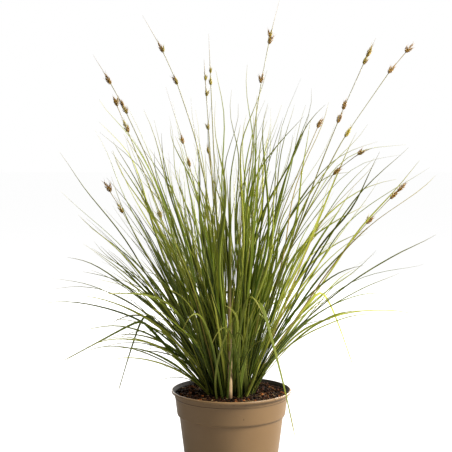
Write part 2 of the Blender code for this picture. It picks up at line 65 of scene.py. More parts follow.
# %% The socket class and the board it works on
class Wire:
    """One output of a node. Arithmetic with it adds the Math nodes that work it out."""

    def __init__(self, board, socket):
        self.board = board
        self.socket = socket

    def other(self, name):
        """Another output of the same node."""
        return Wire(self.board, self.socket.node.outputs[name])

    def __add__(self, term):
        return self.board.maths("ADD", self, term)

    __radd__ = __add__

    def __sub__(self, term):
        return self.board.maths("SUBTRACT", self, term)

    def __rsub__(self, term):
        return self.board.maths("SUBTRACT", term, self)

    def __mul__(self, term):
        return self.board.maths("MULTIPLY", self, term)

    __rmul__ = __mul__


class Board:
    """A node tree that is written from Python."""

    def __init__(self, tree):
        self.tree = tree

    def plug(self, node, sockets):
        """Sets or links a node's inputs, given by name or by number."""
        for key, value in sockets.items():
            if isinstance(key, int):
                socket = node.inputs[key]
            else:
                socket = next(s for s in node.inputs if s.name == key and s.enabled)
            if isinstance(value, Wire):
                self.tree.links.new(value.socket, socket)
            else:
                socket.default_value = value

    def add(self, kind, settings=None, sockets=None):
        """Adds a node: its settings first, then its inputs. Returns its first live output."""
        node = self.tree.nodes.new(kind)
        for key, value in (settings or {}).items():
            setattr(node, key, value)
        self.plug(node, sockets or {})
        live = [socket for socket in node.outputs if socket.enabled]
        return Wire(self, live[0]) if live else node

    def maths(self, operation, *terms):
        return self.add("ShaderNodeMath", {"operation": operation}, dict(enumerate(terms)))

    def vectors(self, operation, *terms):
        """Vector Math. A number that scales a vector is the fourth socket of its node."""
        sockets = dict(enumerate(terms))
        if operation == "SCALE":
            sockets = {0: terms[0], 3: terms[1]}
        return self.add("ShaderNodeVectorMath", {"operation": operation}, sockets)

    def above(self, value, limit):
        """1 where a value is greater than a limit, otherwise 0."""
        return self.maths("GREATER_THAN", value, limit)

    def length(self, vector):
        return self.vectors("LENGTH", vector).other("Value")

    def split(self, vector):
        """A vector's parts: other("X"), other("Y") or other("Z") takes one of them."""
        return self.add("ShaderNodeSeparateXYZ", {}, {0: vector})

    def join(self, **parts):
        """A vector from any of X, Y and Z."""
        return self.add("ShaderNodeCombineXYZ", {}, parts)

    def ease(self, value, low, high):
        """0 below low, 1 above high, and a smooth step between them."""
        return self.add(
            "ShaderNodeMapRange",
            {"interpolation_type": "SMOOTHSTEP"},
            {"Value": value, "From Min": low, "From Max": high},
        )

    def mix(self, share, first, second):
        """Between two colours."""
        return self.add(
            "ShaderNodeMix", {"data_type": "RGBA"}, {"Factor": share, "A": first, "B": second}
        )

    def named(self, name, data_type="FLOAT"):
        """An attribute that the mesh carries, read in a geometry tree."""
        return self.add("GeometryNodeInputNamedAttribute", {"data_type": data_type}, {"Name": name})

    def store(self, geometry, name, value, data_type="FLOAT", domain="POINT"):
        return self.add(
            "GeometryNodeStoreNamedAttribute",
            {"data_type": data_type, "domain": domain},
            {"Geometry": geometry, "Name": name, "Value": value},
        )

    def shift(self, geometry, **how):
        """Set Position, with its Position or its Offset."""
        return self.add("GeometryNodeSetPosition", {}, {"Geometry": geometry, **how})

    def smooth_path(self, path, steps):
        """A smooth curve through the corners of bare edges, cut into even steps."""
        smooth = self.add(
            "GeometryNodeCurveSplineType", {"spline_type": "CATMULL_ROM"}, {"Curve": path}
        )
        return self.add("GeometryNodeResampleCurve", {}, {"Curve": smooth, "Count": steps})

    def sweep(self, curve, section, finish):
        """Draws a section along a curve, as wide as the curve's radius, and closes the tree."""
        radius = self.add("GeometryNodeInputRadius")
        swept = self.add(
            "GeometryNodeCurveToMesh",
            {},
            {"Curve": curve, "Profile Curve": section, "Scale": radius, "Fill Caps": True},
        )
        self.close(swept, finish)

    def close(self, geometry, finish):
        """The end of every geometry tree: real mesh, smooth, in its finish."""
        real = self.add("GeometryNodeRealizeInstances", {}, {"Geometry": geometry})
        smooth = self.add("GeometryNodeSetShadeSmooth", {}, {"Geometry": real})
        coated = self.add(
            "GeometryNodeSetMaterial", {}, {"Geometry": smooth, "Material": finish}
        )
        self.add("NodeGroupOutput", {}, {"Geometry": coated})


print("nodes can now be written as sums")

# %% [markdown]
# ## Running a tree and keeping what it makes
#
# A Geometry Nodes modifier stays live, which is handy while modelling and a burden afterwards:
# other programs can't read it. So a tree is put on a throw-away carrier object, its inputs are
# set by their identifiers before anything is evaluated, and the evaluated result is copied out as
# a plain mesh.

# %% Starting a tree, and growing an object with it
def start_tree(name, inputs):
    """An empty geometry tree with a mesh coming in and named inputs, as (board, wires)."""
    tree = bpy.data.node_groups.new(name, "GeometryNodeTree")
    faces = tree.interface
    faces.new_socket("Geometry", in_out="INPUT", socket_type="NodeSocketGeometry")
    faces.new_socket("Geometry", in_out="OUTPUT", socket_type="NodeSocketGeometry")
    for label, kind in inputs.items():
        faces.new_socket(label, in_out="INPUT", socket_type="NodeSocket" + kind)
    board = Board(tree)
    entry = tree.nodes.new("NodeGroupInput")
    return board, {socket.name: Wire(board, socket) for socket in entry.outputs if socket.name}


def link(thing):
    bpy.context.scene.collection.objects.link(thing)
    return thing


def grow(name, mesh, board, values):
    """Runs a tree on a mesh and returns the result as a plain mesh object."""
    carrier = link(bpy.data.objects.new(name + "_carrier", mesh))
    modifier = carrier.modifiers.new("grow", "NODES")
    modifier.node_group = board.tree
    for item in board.tree.interface.items_tree:
        if item.in_out == "INPUT" and item.name in values:
            modifier[item.identifier] = values[item.name]
    graph = bpy.context.evaluated_depsgraph_get()
    result = bpy.data.meshes.new_from_object(
        carrier.evaluated_get(graph), preserve_all_data_layers=True, depsgraph=graph
    )
    bpy.data.objects.remove(carrier)
    result.name = name
    return link(bpy.data.objects.new(name, result))


def hand_over(piece, slot, *nodes):
    """Hangs a piece on the root body and hides the frame's parts that it stands for. The slot is
    not used.
    """
    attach(piece, "root")
    if nodes:
        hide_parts(*nodes)
    return piece


def triangles(piece):
    return sum(len(face.vertices) - 2 for face in piece.data.polygons)


print("trees can be grown into plain meshes")

# %% [markdown]
# ## Colours
#
# A shader works with linear light, while colours are named by how they look on a screen. One
# helper turns screen values from 0 to 255 into linear ones, so the lists below stay readable.

# %% From screen colours to linear ones
def shade(red, green, blue):
    """A colour given as it looks on a screen, 0 to 255, as linear RGBA."""
    channels = []
    for value in (red, green, blue):
        part = value / 255
        channels.append(part / 12.92 if part <= 0.04045 else ((part + 0.055) / 1.055) ** 2.4)
    return (*channels, 1.0)


def new_finish(name):
    """A node material, as (material, board, its Principled shader)."""
    made = bpy.data.materials.new(name)
    made.use_nodes = True
    return made, Board(made.node_tree), made.node_tree.nodes["Principled BSDF"]


def attribute(board, name):
    """A number that the mesh carries, read in a shader."""
    node = board.add("ShaderNodeAttribute", {"attribute_name": name})
    return node.other("Fac")


def noise(board, vector, scale, detail=3.0, roughness=0.55):
    return board.add(
        "ShaderNodeTexNoise",
        {},
        {"Vector": vector, "Scale": scale, "Detail": detail, "Roughness": roughness},
    )


def bump(board, height, strength, distance):
    return board.add(
        "ShaderNodeBump", {}, {"Height": height, "Strength": strength, "Distance": distance}
    )


print("mid leaf green in linear light:", [round(part, 3) for part in shade(112, 124, 44)[:3]])

# %% [markdown]
# ## Camera, floor and light
#
# The plant is seen from a metre and a half away, from a little above the middle of its leaves,
# through a portrait lens. That long lens keeps the pot's sides nearly parallel. The light comes
# from three soft boxes: the key at the right and a little in front, a second one at the right and
# a little behind, which draws a pale edge along the pot and the leaves, and a weak low one behind
# the plant. The rest of the room only lifts the shadows, so the pot falls smoothly from light to
# dark. The room and the floor look white to the camera, but they throw little light back, as
# white paper far from the plant would.

# %% Set it up
VIEW_FROM = Vector((-0.0075, -1.5, 0.46))
VIEW_TO = Vector((-0.0075, 0.0, 0.362))
LENS = 85
SENSOR_WIDTH = 36
SOFT_BOX_AWAY = 2.2
# Each soft box: its power in watts, its size, its azimuth from the right and its elevation.
SOFT_BOXES = {
    "key_box": (84, 0.9, -24, 38),
    "edge_box": (72, 1.1, 50, 14),
    "sheen_box": (22, 1.2, 100, 5),
}
WARM_WHITE = (1.0, 0.975, 0.94)
ROOM_LIGHT = 0.24

scene = bpy.context.scene
scene.view_settings.view_transform = "Standard"

eye = link(bpy.data.objects.new("camera", bpy.data.cameras.new("camera")))
eye.data.lens = LENS
eye.data.sensor_width = SENSOR_WIDTH
eye.location = VIEW_FROM
eye.rotation_euler = (VIEW_TO - VIEW_FROM).to_track_quat("-Z", "Y").to_euler()
scene.camera = eye

for name, (power, size, azimuth, elevation) in SOFT_BOXES.items():
    lamp = bpy.data.lights.new(name, "AREA")
    lamp.energy = power
    lamp.size = size
    lamp.color = WARM_WHITE
    holder = link(bpy.data.objects.new(name, lamp))
    azimuth, elevation = math.radians(azimuth), math.radians(elevation)
    level = Vector((math.cos(azimuth), math.sin(azimuth), 0))
    towards = level * math.cos(elevation) + Vector((0, 0, math.sin(elevation)))
    holder.location = VIEW_TO + towards * SOFT_BOX_AWAY
    holder.rotation_euler = (-towards).to_track_quat("-Z", "Y").to_euler()

room = bpy.data.worlds.new("room")
scene.world = room
room.use_nodes = True
room_board = Board(room.node_tree)
seen = room_board.add("ShaderNodeLightPath")
room_board.plug(
    room.node_tree.nodes["Background"],
    {"Color": (1, 1, 1, 1), "Strength": seen * (1 - ROOM_LIGHT) + ROOM_LIGHT},
)
print("camera", round((VIEW_TO - VIEW_FROM).length, 3), "m from the plant")

# %% The floor
FLOOR_RADIUS = 30.0
FLOOR_BOUNCE = (0.3, 0.3, 0.3, 1)
FLOOR_GLOW = 0.9

floor_shape = bmesh.new()
bmesh.ops.create_circle(floor_shape, cap_ends=True, segments=96, radius=FLOOR_RADIUS)
floor_mesh = bpy.data.meshes.new("floor")
floor_shape.to_mesh(floor_mesh)
floor_shape.free()
floor = link(bpy.data.objects.new("floor", floor_mesh))
paper, paper_board, paper_shader = new_finish("white_paper")
floor_seen = paper_board.add("ShaderNodeLightPath")
paper_board.plug(
    paper_shader,
    {
        "Base Color": FLOOR_BOUNCE,
        "Roughness": 0.9,
        "Emission Color": (1, 1, 1, 1),
        "Emission Strength": floor_seen * FLOOR_GLOW,
    },
)
floor_mesh.materials.append(paper)
print("floor", 2 * FLOOR_RADIUS, "m across")

# %% [markdown]
# ## The pot: a turned profile
#
# A nursery pot is injection moulded: a tapering body, a wider band above a step, and a lip that
# is rolled outwards. All of it is round, so the quickest true shape is an outline turned about
# the axis. The outline below is a short list of corners, each with the radius that the mould
# gives it, and a helper replaces each corner by a small arc. A soft step and a rounded lip catch
# a line of light that a sharp corner never shows. The rings are joined face by face, because
# Blender's own spin may number its faces differently each time, and what is scattered on them
# later would then lie differently too.

# %% Corners with radii, and turning them
ON_AXIS = 1e-6  # a point of an outline nearer to the axis than this is a pole


def rounded(corners, steps=4):
    """An outline from (radius, height, how round): each corner becomes a small arc."""
    line = []
    for index, (x, z, reach) in enumerate(corners):
        here = Vector((x, z))
        if not reach:
            line.append(here)
            continue
        before = Vector(corners[index - 1][:2]) - here
        after = Vector(corners[index + 1][:2]) - here
        reach = min(reach, before.length / 2.1, after.length / 2.1)
        start = here + before.normalized() * reach
        end = here + after.normalized() * reach
        for step in range(steps + 1):
            share = step / steps
            line.append(start.lerp(here, share).lerp(here.lerp(end, share), share))
    return line


def turned(line, sides):
    """A closed body from an outline that starts and ends on the axis."""
    shape = bmesh.new()
    rings = []
    for point in line:
        count = sides if point.x > ON_AXIS else 1
        angles = [math.tau * side / sides for side in range(count)]
        places = [(point.x * math.cos(turn), point.x * math.sin(turn), point.y) for turn in angles]
        rings.append([shape.verts.new(place) for place in places])
    for low, high in zip(rings, rings[1:]):
        for side in range(sides):
            after = (side + 1) % sides
            pairs = ((low, side), (low, after), (high, after), (high, side))
            corners = [ring[place % len(ring)] for ring, place in pairs]
            shape.faces.new(list(dict.fromkeys(corners)))
    bmesh.ops.recalc_face_normals(shape, faces=shape.faces)
    return shape


def as_object(name, shape):
    mesh = bpy.data.meshes.new(name)
    shape.to_mesh(mesh)
    shape.free()
    return link(bpy.data.objects.new(name, mesh))


# %% The pot's outline
pot_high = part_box("nursery_pot")[1]
POT_HEIGHT = pot_high.z
LIP_RADIUS = pot_high.x
LIP_HEIGHT = 0.004
LIP_OVERHANG = 0.0042
BAND_HEIGHT = 0.036
STEP = 0.0032
TAPER = math.tan(math.radians(7))
WALL = 0.0015
LIP_RIM = 0.0022  # width of the lip's top edge
FLARE = 0.0045  # below the rim, where the inner wall starts to flare out into the lip
FLOOR_THICKNESS = 0.002
POT_SIDES = 144

band_top = LIP_RADIUS - LIP_OVERHANG
band_foot = band_top - (BAND_HEIGHT - LIP_HEIGHT) * TAPER
body_high = POT_HEIGHT - BAND_HEIGHT
body_top = band_foot - STEP
base = body_top - body_high * TAPER
lip_foot = POT_HEIGHT - LIP_HEIGHT
BEAD_BELOW = 0.0075  # a faint moulded line runs round just under the lip
bead_radius = band_top - BEAD_BELOW * TAPER

pot_line = rounded(
    [
        (0, 0.0012, 0),
        (base - 0.006, 0.0012, 0.0006),
        (base - 0.0045, 0, 0.0008),
        (base, 0, 0.0012),
        (body_top, body_high - 0.0022, 0.0022),
        (body_top + 0.0006, body_high - 0.0006, 0.0006),
        (band_foot - 0.0008, body_high, 0.0010),
        (band_foot, body_high + 0.0016, 0.0010),
        (bead_radius - 0.0002, lip_foot - BEAD_BELOW, 0.0004),
        (bead_radius + 0.0005, lip_foot - BEAD_BELOW + 0.0009, 0.0004),
        (bead_radius + 0.0003, lip_foot - BEAD_BELOW + 0.0020, 0.0004),
        (band_top, lip_foot, 0.0014),
        (LIP_RADIUS - 0.0006, lip_foot, 0.0006),
        (LIP_RADIUS, lip_foot + 0.0012, 0.0012),
        (LIP_RADIUS, POT_HEIGHT - 0.0006, 0.0014),
        (LIP_RADIUS - LIP_RIM, POT_HEIGHT, 0.0008),
        (band_top - WALL, POT_HEIGHT - FLARE, 0.0020),
        (band_foot - WALL, body_high + WALL, 0.0012),
        (body_top - WALL, body_high - 0.0012, 0.0012),
        (base + FLOOR_THICKNESS * TAPER - WALL, FLOOR_THICKNESS, 0.0008),
        (0, FLOOR_THICKNESS + 0.0006, 0),
    ]
)
pot_rough = as_object("pot_rough", turned(pot_line, POT_SIDES))
print("pot outline:", len(pot_line), "points, turned in", POT_SIDES, "steps")

# %% [markdown]
# ### Drain holes
#
# Eight round holes stand in a ring in the pot's floor, and four shallow channels lead the water
# away from under it. Both are cut with Booleans, as a drill and a mill would, and the result is
# taken as a plain mesh.

# %% Cut the drain holes and channels
HOLES = 8
HOLE_RADIUS = 0.0045
HOLE_RING = 0.044
CHANNEL_WIDTH = 0.006
CHANNEL_DEPTH = 0.0019
CHANNEL_PAST = 0.006  # how far a channel runs on past the pot's foot
HOLE_SIDES = 28
DRILL_LENGTH = 0.02
SHARP_FROM = math.radians(38)


def around(index, x, z=0.0):
    """A place at an angle of index eighths of a turn, x metres out."""
    angle = math.tau * index / HOLES
    return Vector((x * math.cos(angle), x * math.sin(angle), z))


holes = bmesh.new()
for index in range(HOLES):
    made = bmesh.ops.create_cone(
        holes,
        cap_ends=True,
        segments=HOLE_SIDES,
        radius1=HOLE_RADIUS,
        radius2=HOLE_RADIUS,
        depth=DRILL_LENGTH,
    )
    bmesh.ops.translate(holes, verts=made["verts"], vec=around(index, HOLE_RING))
channels = bmesh.new()
channel_end = base + CHANNEL_PAST
channel_size = (channel_end - HOLE_RING, CHANNEL_WIDTH, CHANNEL_DEPTH)
for index in range(0, HOLES, 2):
    made = bmesh.ops.create_cube(channels, size=1)
    bmesh.ops.scale(channels, verts=made["verts"], vec=channel_size)
    bmesh.ops.translate(channels, verts=made["verts"], vec=((channel_end + HOLE_RING) / 2, 0, 0))
    for corner in made["verts"]:
        angle = math.tau * index / HOLES
        x, y = corner.co.x, corner.co.y
        corner.co.x = x * math.cos(angle) - y * math.sin(angle)
        corner.co.y = x * math.sin(angle) + y * math.cos(angle)

cutters = []
for name, shape in (("holes", holes), ("channels", channels)):
    cutter = as_object(name, shape)
    cutters.append(cutter)
    boolean = pot_rough.modifiers.new(name, "BOOLEAN")
    boolean.operation = "DIFFERENCE"
    boolean.solver = "EXACT"
    boolean.object = cutter
graph = bpy.context.evaluated_depsgraph_get()
pot_mesh = bpy.data.meshes.new_from_object(pot_rough.evaluated_get(graph))
for helper in [pot_rough, *cutters]:
    bpy.data.objects.remove(helper)
pot = link(bpy.data.objects.new("pot", pot_mesh))
pot_mesh.shade_smooth()
pot_mesh.set_sharp_from_angle(angle=SHARP_FROM)
print("pot:", triangles(pot), "triangles")

# %% [markdown]
# ### Dull taupe plastic
#
# Recycled pot plastic is a warm grey brown with a skin that is neither matt nor shiny. Up close
# the colour is slightly cloudy, the surface has a fine grain from the mould, handling leaves
# faint paler scuffs, and a little soil dust sticks just under the lip and around the foot. Clouds,
# grain and scuffs are three noises at three scales, all read in Object coordinates, so that the
# pattern sits still on the pot. The inner wall under the lip is darkened nearly to black, broken
# by a noise, and one small nick marks the front of the band.

# %% The plastic finish
plastic, board, shader = new_finish("taupe_plastic")
place = board.add("ShaderNodeTexCoord").other("Object")
height = board.split(place).other("Z")
clouds = noise(board, place, 22, 3)
stretched = board.vectors("MULTIPLY", place, (1, 1, 3.2))
scuffs = board.ease(noise(board, stretched, 95, 5, 0.7), 0.60, 0.78)
grain = noise(board, place, 1900, 2)
dust_low = 1 - board.ease(height, 0.002, 0.016)
dust_lip = board.ease(height, POT_HEIGHT - 0.010, POT_HEIGHT - 0.003)
dust = board.ease(noise(board, place, 160, 4), 0.52, 0.74) * (dust_low * 0.5 + dust_lip * 0.55)
colour = board.mix(clouds, shade(146, 114, 75), shade(158, 126, 86))
colour = board.mix(scuffs * 0.16, colour, shade(186, 162, 130))
colour = board.mix(dust, colour, shade(74, 52, 36))
facing_up = board.split(board.add("ShaderNodeNewGeometry").other("Normal")).other("Z")
away = board.length(board.vectors("MULTIPLY", place, (1, 1, 0)))
within_lip = 1 - board.ease(away, LIP_RADIUS - 0.0024, LIP_RADIUS - 0.0012)
inside = board.ease(facing_up, 0.02, 0.2) * within_lip
# The inner wall under the lip is darkened nearly to black, broken by a noise.
dark_inner_wall = inside * board.ease(noise(board, place, 240, 3), 0.1, 0.3)
colour = board.mix(dark_inner_wall, colour, shade(26, 17, 11))
NICK = (0.0165, -0.0759, 0.1045)  # its place on the front of the band
from_nick = board.vectors("MULTIPLY", board.vectors("SUBTRACT", place, NICK), (1, 1, 0.3))
nick = 1 - board.ease(board.length(from_nick), 0.0003, 0.0008)
colour = board.mix(nick * 0.7, colour, shade(60, 42, 28))
board.plug(
    shader,
    {
        "Base Color": colour,
        "Roughness": 0.34 + clouds * 0.08 + scuffs * 0.12 + dust * 0.25 + inside * 0.5,
        "Specular IOR Level": 0.6,
        "Normal": bump(board, grain + scuffs * 0.5, 0.18, 0.0002),
    },
)
pot_mesh.materials.clear()
pot_mesh.materials.append(plastic)
hand_over(pot, "pot_plastic", "nursery_pot")
print("pot finished")

# %% [markdown]
# ## The soil: lumps first, then what lies on it
#
# Potting soil is black peat with bark chips, crumbs and pale root fibres. One displaced surface
# can carry the large lumps, but its bits have edges and cast small shadows, so they are real
# shapes: a tree scatters one small model over the surface and turns and scales every copy by
# chance. The same tree spreads crumbs, lumps, bark chips, root fibres and dry leaf flakes.

# %% The lumpy body of soil
SOIL_TOP = POT_HEIGHT - 0.0075
SOIL_SIDES = 120
SOIL_RISE = 0.0026  # how much higher it lies along the pot than under the crown
LEVEL_TO, HIGH_FROM = 0.040, 0.066  # the radii between which it rises
MOUND = 0.0012  # how high it is heaped against the crown
SOIL_REACH = band_top - WALL - 0.0002
CLEAR = 0.0005

soil_line = [
    Vector((0, FLOOR_THICKNESS + CLEAR)),
    Vector((base - WALL - CLEAR, FLOOR_THICKNESS + 0.0012 + CLEAR)),
    Vector((body_top - WALL - CLEAR, body_high - 0.0025)),
    Vector((band_foot - WALL - CLEAR, body_high + WALL + 0.002)),
    Vector((SOIL_REACH, SOIL_TOP + SOIL_RISE - 0.0005)),
]
RINGS = 42
for ring in range(RINGS + 1):
    radius = SOIL_REACH * (1 - ring / RINGS) * 0.999
    rise = SOIL_RISE * min(1, max(0, (radius - LEVEL_TO) / (HIGH_FROM - LEVEL_TO)))
    soil_line.append(Vector((radius, SOIL_TOP + rise)))
soil_shape = turned(soil_line, SOIL_SIDES)
soil_mesh = bpy.data.meshes.new("soil_body")
soil_shape.to_mesh(soil_mesh)
soil_shape.free()

soil_tree, given = start_tree(
    "lumpy_soil",
    {"Surface": "Float", "Lump Height": "Float", "Crown Radius": "Float", "Finish": "Material"},
)
spot = soil_tree.add("GeometryNodeInputPosition")
across = soil_tree.vectors("MULTIPLY", spot, (1, 1, 0))
away = soil_tree.length(across)
top = soil_tree.above(soil_tree.split(spot).other("Z"), given["Surface"] - 0.0005)
near_pot = 1 - soil_tree.ease(away, SOIL_REACH - 0.006, SOIL_REACH - 0.001)
lumps = noise(soil_tree, across, 95, 2) - 0.5
crumbs = noise(soil_tree, across, 420, 3) - 0.5
rise = (lumps * 1.5 + crumbs * 0.7) * given["Lump Height"] * top * near_pot
near_crown = 1 - soil_tree.ease(away, given["Crown Radius"], given["Crown Radius"] * 1.9)
lift = soil_tree.join(Z=rise + near_crown * MOUND * top)
soil_tree.close(soil_tree.shift(given["Geometry"], Offset=lift), given["Finish"])

# %% [markdown]
# ### Peat, bark and fibre colours
#
# The peat is nearly black where it is wet and warm brown where crumbs have dried. Chips carry a
# number of their own, `tone`, so that one may be orange-brown bark and the next grey-brown wood.

# %% The soil finishes
def earth(name, dark, warm, bright, bright_from):
    """A crumbly finish: dark to warm by noise, and a few bright bits by their own tone."""
    made, board, shader = new_finish(name)
    place = board.add("ShaderNodeTexCoord").other("Object")
    patches = noise(board, place, 260, 4, 0.65)
    tone = attribute(board, "tone")
    colour = board.mix(board.ease(patches, 0.40, 0.66), dark, warm)
    colour = board.mix(board.ease(tone, bright_from, 1.0), colour, bright)
    fine = noise(board, place, 1400, 4, 0.7)
    board.plug(
        shader,
        {
            "Base Color": colour,
            "Roughness": 0.84 + fine * 0.15,
            "Normal": bump(board, fine, 0.7, 0.0006),
            "Specular IOR Level": 0.1,
        },
    )
    return made


peat = earth("peat", shade(10, 6, 3), shade(30, 18, 9), shade(30, 18, 9), 0.98)
crumb_finish = earth("soil_crumbs", shade(9, 5, 2), shade(36, 20, 10), shade(88, 55, 30), 0.84)
lump_finish = earth("peat_lumps", shade(14, 8, 4), shade(56, 33, 17), shade(88, 52, 28), 0.80)
bark = earth("bark", shade(26, 13, 6), shade(66, 35, 17), shade(150, 88, 44), 0.72)
straw = shade(206, 180, 132)
fibre_finish = earth("root_fibre", shade(84, 58, 34), shade(146, 112, 72), straw, 0.6)
litter = earth("leaf_litter", shade(120, 88, 50), shade(164, 130, 82), straw, 0.6)

soil = grow(
    "soil",
    soil_mesh,
    soil_tree,
    {"Surface": SOIL_TOP, "Lump Height": 0.0034, "Crown Radius": 0.034, "Finish": peat},
)
hand_over(soil, "soil", "potting_soil")
print("soil:", triangles(soil), "triangles")

# %% [markdown]
# ### Scattering with one tree
#
# Points are spread over the top of the soil by chance, but with a fixed seed, so the same bits
# lie in the same places each time. Each point gets a copy of a small model, turned any way and
# scaled between two sizes. Realize Instances then makes real mesh of them.

# %% The scatter tree
scatter_tree, given = start_tree(
    "scatter",
    {
        "Bit": "Object",
        "Density": "Float",
        "Smallest": "Float",
        "Largest": "Float",
        "Tilt": "Float",
        "Inner Radius": "Float",
        "Outer Radius": "Float",
        "Lift": "Float",
        "Seed": "Int",
        "Finish": "Material",
    },
)
spot = scatter_tree.add("GeometryNodeInputPosition")
facing_up = scatter_tree.split(scatter_tree.add("GeometryNodeInputNormal")).other("Z")
away = scatter_tree.length(scatter_tree.vectors("MULTIPLY", spot, (1, 1, 0)))
wanted = scatter_tree.above(scatter_tree.split(spot).other("Z"), SOIL_TOP - 0.006)
wanted = wanted * scatter_tree.above(facing_up, 0.2)
wanted = wanted * scatter_tree.above(away, given["Inner Radius"])
wanted = wanted * scatter_tree.above(given["Outer Radius"], away)
points = scatter_tree.add(
    "GeometryNodeDistributePointsOnFaces",
    {},
    {
        "Mesh": given["Geometry"],
        "Selection": wanted,
        "Density": given["Density"],
        "Seed": given["Seed"],
    },
)


def chance(board, seed, low, high, kind="FLOAT", number=None):
    """A random value for each element, or for each number that is given."""
    sockets = {"Min": low, "Max": high, "Seed": seed}
    if number is not None:
        sockets["ID"] = number
    return board.add("FunctionNodeRandomValue", {"data_type": kind}, sockets)


size = chance(scatter_tree, given["Seed"] + 1, given["Smallest"], given["Largest"])
lean = chance(scatter_tree, given["Seed"] + 2, (-1, -1, 0), (1, 1, 0), "FLOAT_VECTOR")
lean = scatter_tree.vectors("SCALE", lean, given["Tilt"])
spin = chance(scatter_tree, given["Seed"] + 3, (0, 0, 0), (0, 0, math.tau), "FLOAT_VECTOR")
turn = scatter_tree.vectors("ADD", lean, spin)
bit = scatter_tree.add("GeometryNodeObjectInfo", {}, {"Object": given["Bit"]}).other("Geometry")
spread = scatter_tree.add(
    "GeometryNodeInstanceOnPoints",
    {},
    {"Points": points, "Instance": bit, "Rotation": turn, "Scale": size},
)
raised = scatter_tree.add(
    "GeometryNodeTranslateInstances",
    {},
    {
        "Instances": spread,
        "Translation": scatter_tree.join(Z=given["Lift"]),
        "Local Space": False,
    },
)
toned = scatter_tree.store(
    raised, "tone", chance(scatter_tree, given["Seed"] + 4, 0.0, 1.0), domain="INSTANCE"
)
scatter_tree.close(toned, given["Finish"])

# %% [markdown]
# ### The bits: a ball, a slab and a thread
#
# Crumbs and lumps are rough balls, bark chips and leaf flakes are flat broken slabs, and a fibre
# is a thin bent thread. Each has only a few dozen faces, because there are hundreds of them.

# %% Model the bits, one metre long so that the scale is the size
CHIP_CORNERS = 7
THREAD_RINGS = 7
THREAD_SIDES = 3
THREAD_RADIUS = 0.016
bits = random.Random(5)


def rough_ball(name, stretch):
    shape = bmesh.new()
    bmesh.ops.create_icosphere(shape, subdivisions=1, radius=0.5)
    for corner in shape.verts:
        corner.co *= bits.uniform(0.72, 1.12)
        corner.co = Vector((a * b for a, b in zip(corner.co, stretch)))
    return as_object(name, shape)


def chip(name):
    """A slab of bark: an uneven outline, drawn up to a thickness."""
    shape = bmesh.new()
    low = []
    for index in range(CHIP_CORNERS):
        angle = math.tau * index / CHIP_CORNERS
        reach = bits.uniform(0.30, 0.50)
        place = (reach * math.cos(angle), 0.62 * reach * math.sin(angle), -0.09)
        low.append(shape.verts.new(place))
    high = []
    for corner in low:
        x, y, z = corner.co
        z += 0.16 + bits.uniform(-0.04, 0.05)
        high.append(shape.verts.new((x * 0.86, y * 0.86, z)))
    shape.faces.new(low)
    shape.faces.new(high)
    for index in range(CHIP_CORNERS):
        shape.faces.new((low[index - 1], low[index], high[index], high[index - 1]))
    bmesh.ops.recalc_face_normals(shape, faces=shape.faces)
    return as_object(name, shape)


def thread(name):
    """A bent thread: a three-sided tube along a wandering line."""
    shape = bmesh.new()
    rings = []
    for step in range(THREAD_RINGS):
        share = step / (THREAD_RINGS - 1)
        middle = Vector((share - 0.5, 0.16 * math.sin(share * 4.1), 0.07 * math.sin(share * 5.3)))
        around_it = []
        for side in range(THREAD_SIDES):
            angle = math.tau * side / THREAD_SIDES
            offset = Vector((0, math.cos(angle), math.sin(angle))) * THREAD_RADIUS
            around_it.append(shape.verts.new(middle + offset))
        rings.append(around_it)
    for low, high in zip(rings, rings[1:]):
        for side in range(THREAD_SIDES):
            after = (side + 1) % THREAD_SIDES
            shape.faces.new((low[side], low[after], high[after], high[side]))
    shape.faces.new(rings[0])
    shape.faces.new(rings[-1])
    bmesh.ops.recalc_face_normals(shape, faces=shape.faces)
    return as_object(name, shape)


# %% Scatter them over the soil
SOIL_EDGE = SOIL_REACH - 0.004


def scatter(name, model, finish, seed, density, sizes, tilt, inner, lift_by):
    """Spreads copies of a model between a radius and the pot. Density is in bits per m2."""
    values = {"Bit": model, "Density": density, "Smallest": sizes[0], "Largest": sizes[1]}
    values |= {"Tilt": tilt, "Inner Radius": inner, "Outer Radius": SOIL_EDGE}
    values |= {"Lift": lift_by, "Seed": seed, "Finish": finish}
    piece = grow(name, soil.data.copy(), scatter_tree, values)
    hand_over(piece, "soil")
    bpy.data.objects.remove(model)
    print(name + ":", triangles(piece), "triangles")


crumb = rough_ball("crumb", (1, 0.85, 0.7))
scatter("soil_crumbs", crumb, crumb_finish, 11, 60000.0, (0.0014, 0.0042), 3.0, 0.0, 0.0002)
lump = rough_ball("lump", (1, 0.8, 0.66))
scatter("soil_lumps", lump, lump_finish, 17, 11000.0, (0.0040, 0.0090), 3.0, 0.034, 0.0004)
scatter("bark_chips", chip("chip"), bark, 23, 17000.0, (0.0045, 0.0120), 0.55, 0.034, 0.0008)
fibre = thread("thread")
scatter("root_fibres", fibre, fibre_finish, 37, 7000.0, (0.006, 0.019), 0.35, 0.030, 0.0016)
scatter("leaf_litter", chip("flake"), litter, 53, 650.0, (0.004, 0.010), 0.30, 0.046, 0.0016)

# %% [markdown]
# ## Reading the leaves back from the solids
#
# Each leaf solid is a string of three-cornered rings that ends in a point. A point has exactly
# three neighbours, those neighbours are the last ring, their neighbours are the ring before it,
# and so on down to the sheath. Walking down like this gives the leaf's own path, how wide it is
# and which side faces up, so nothing about the growth has to be repeated here. The solids come
# as loose triangles, so a copy is welded first and the frame stays as it is.

# %% Welding a copy and walking down from a tip
WELD = 2e-6
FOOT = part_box("leaf_shoot_20")[0].z  # every sheath stands at this height


def welded(node):
    shape = bmesh.new()
    shape.from_mesh(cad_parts[node].data)
    bmesh.ops.remove_doubles(shape, verts=shape.verts, dist=WELD)
    return shape


def beside(corner):
    return {edge.other_vert(corner) for edge in corner.link_edges}


def in_order(places):
    """Places sorted by where they are, because a set has no order that each run repeats."""
    return sorted(places, key=lambda place: place.to_tuple(6))


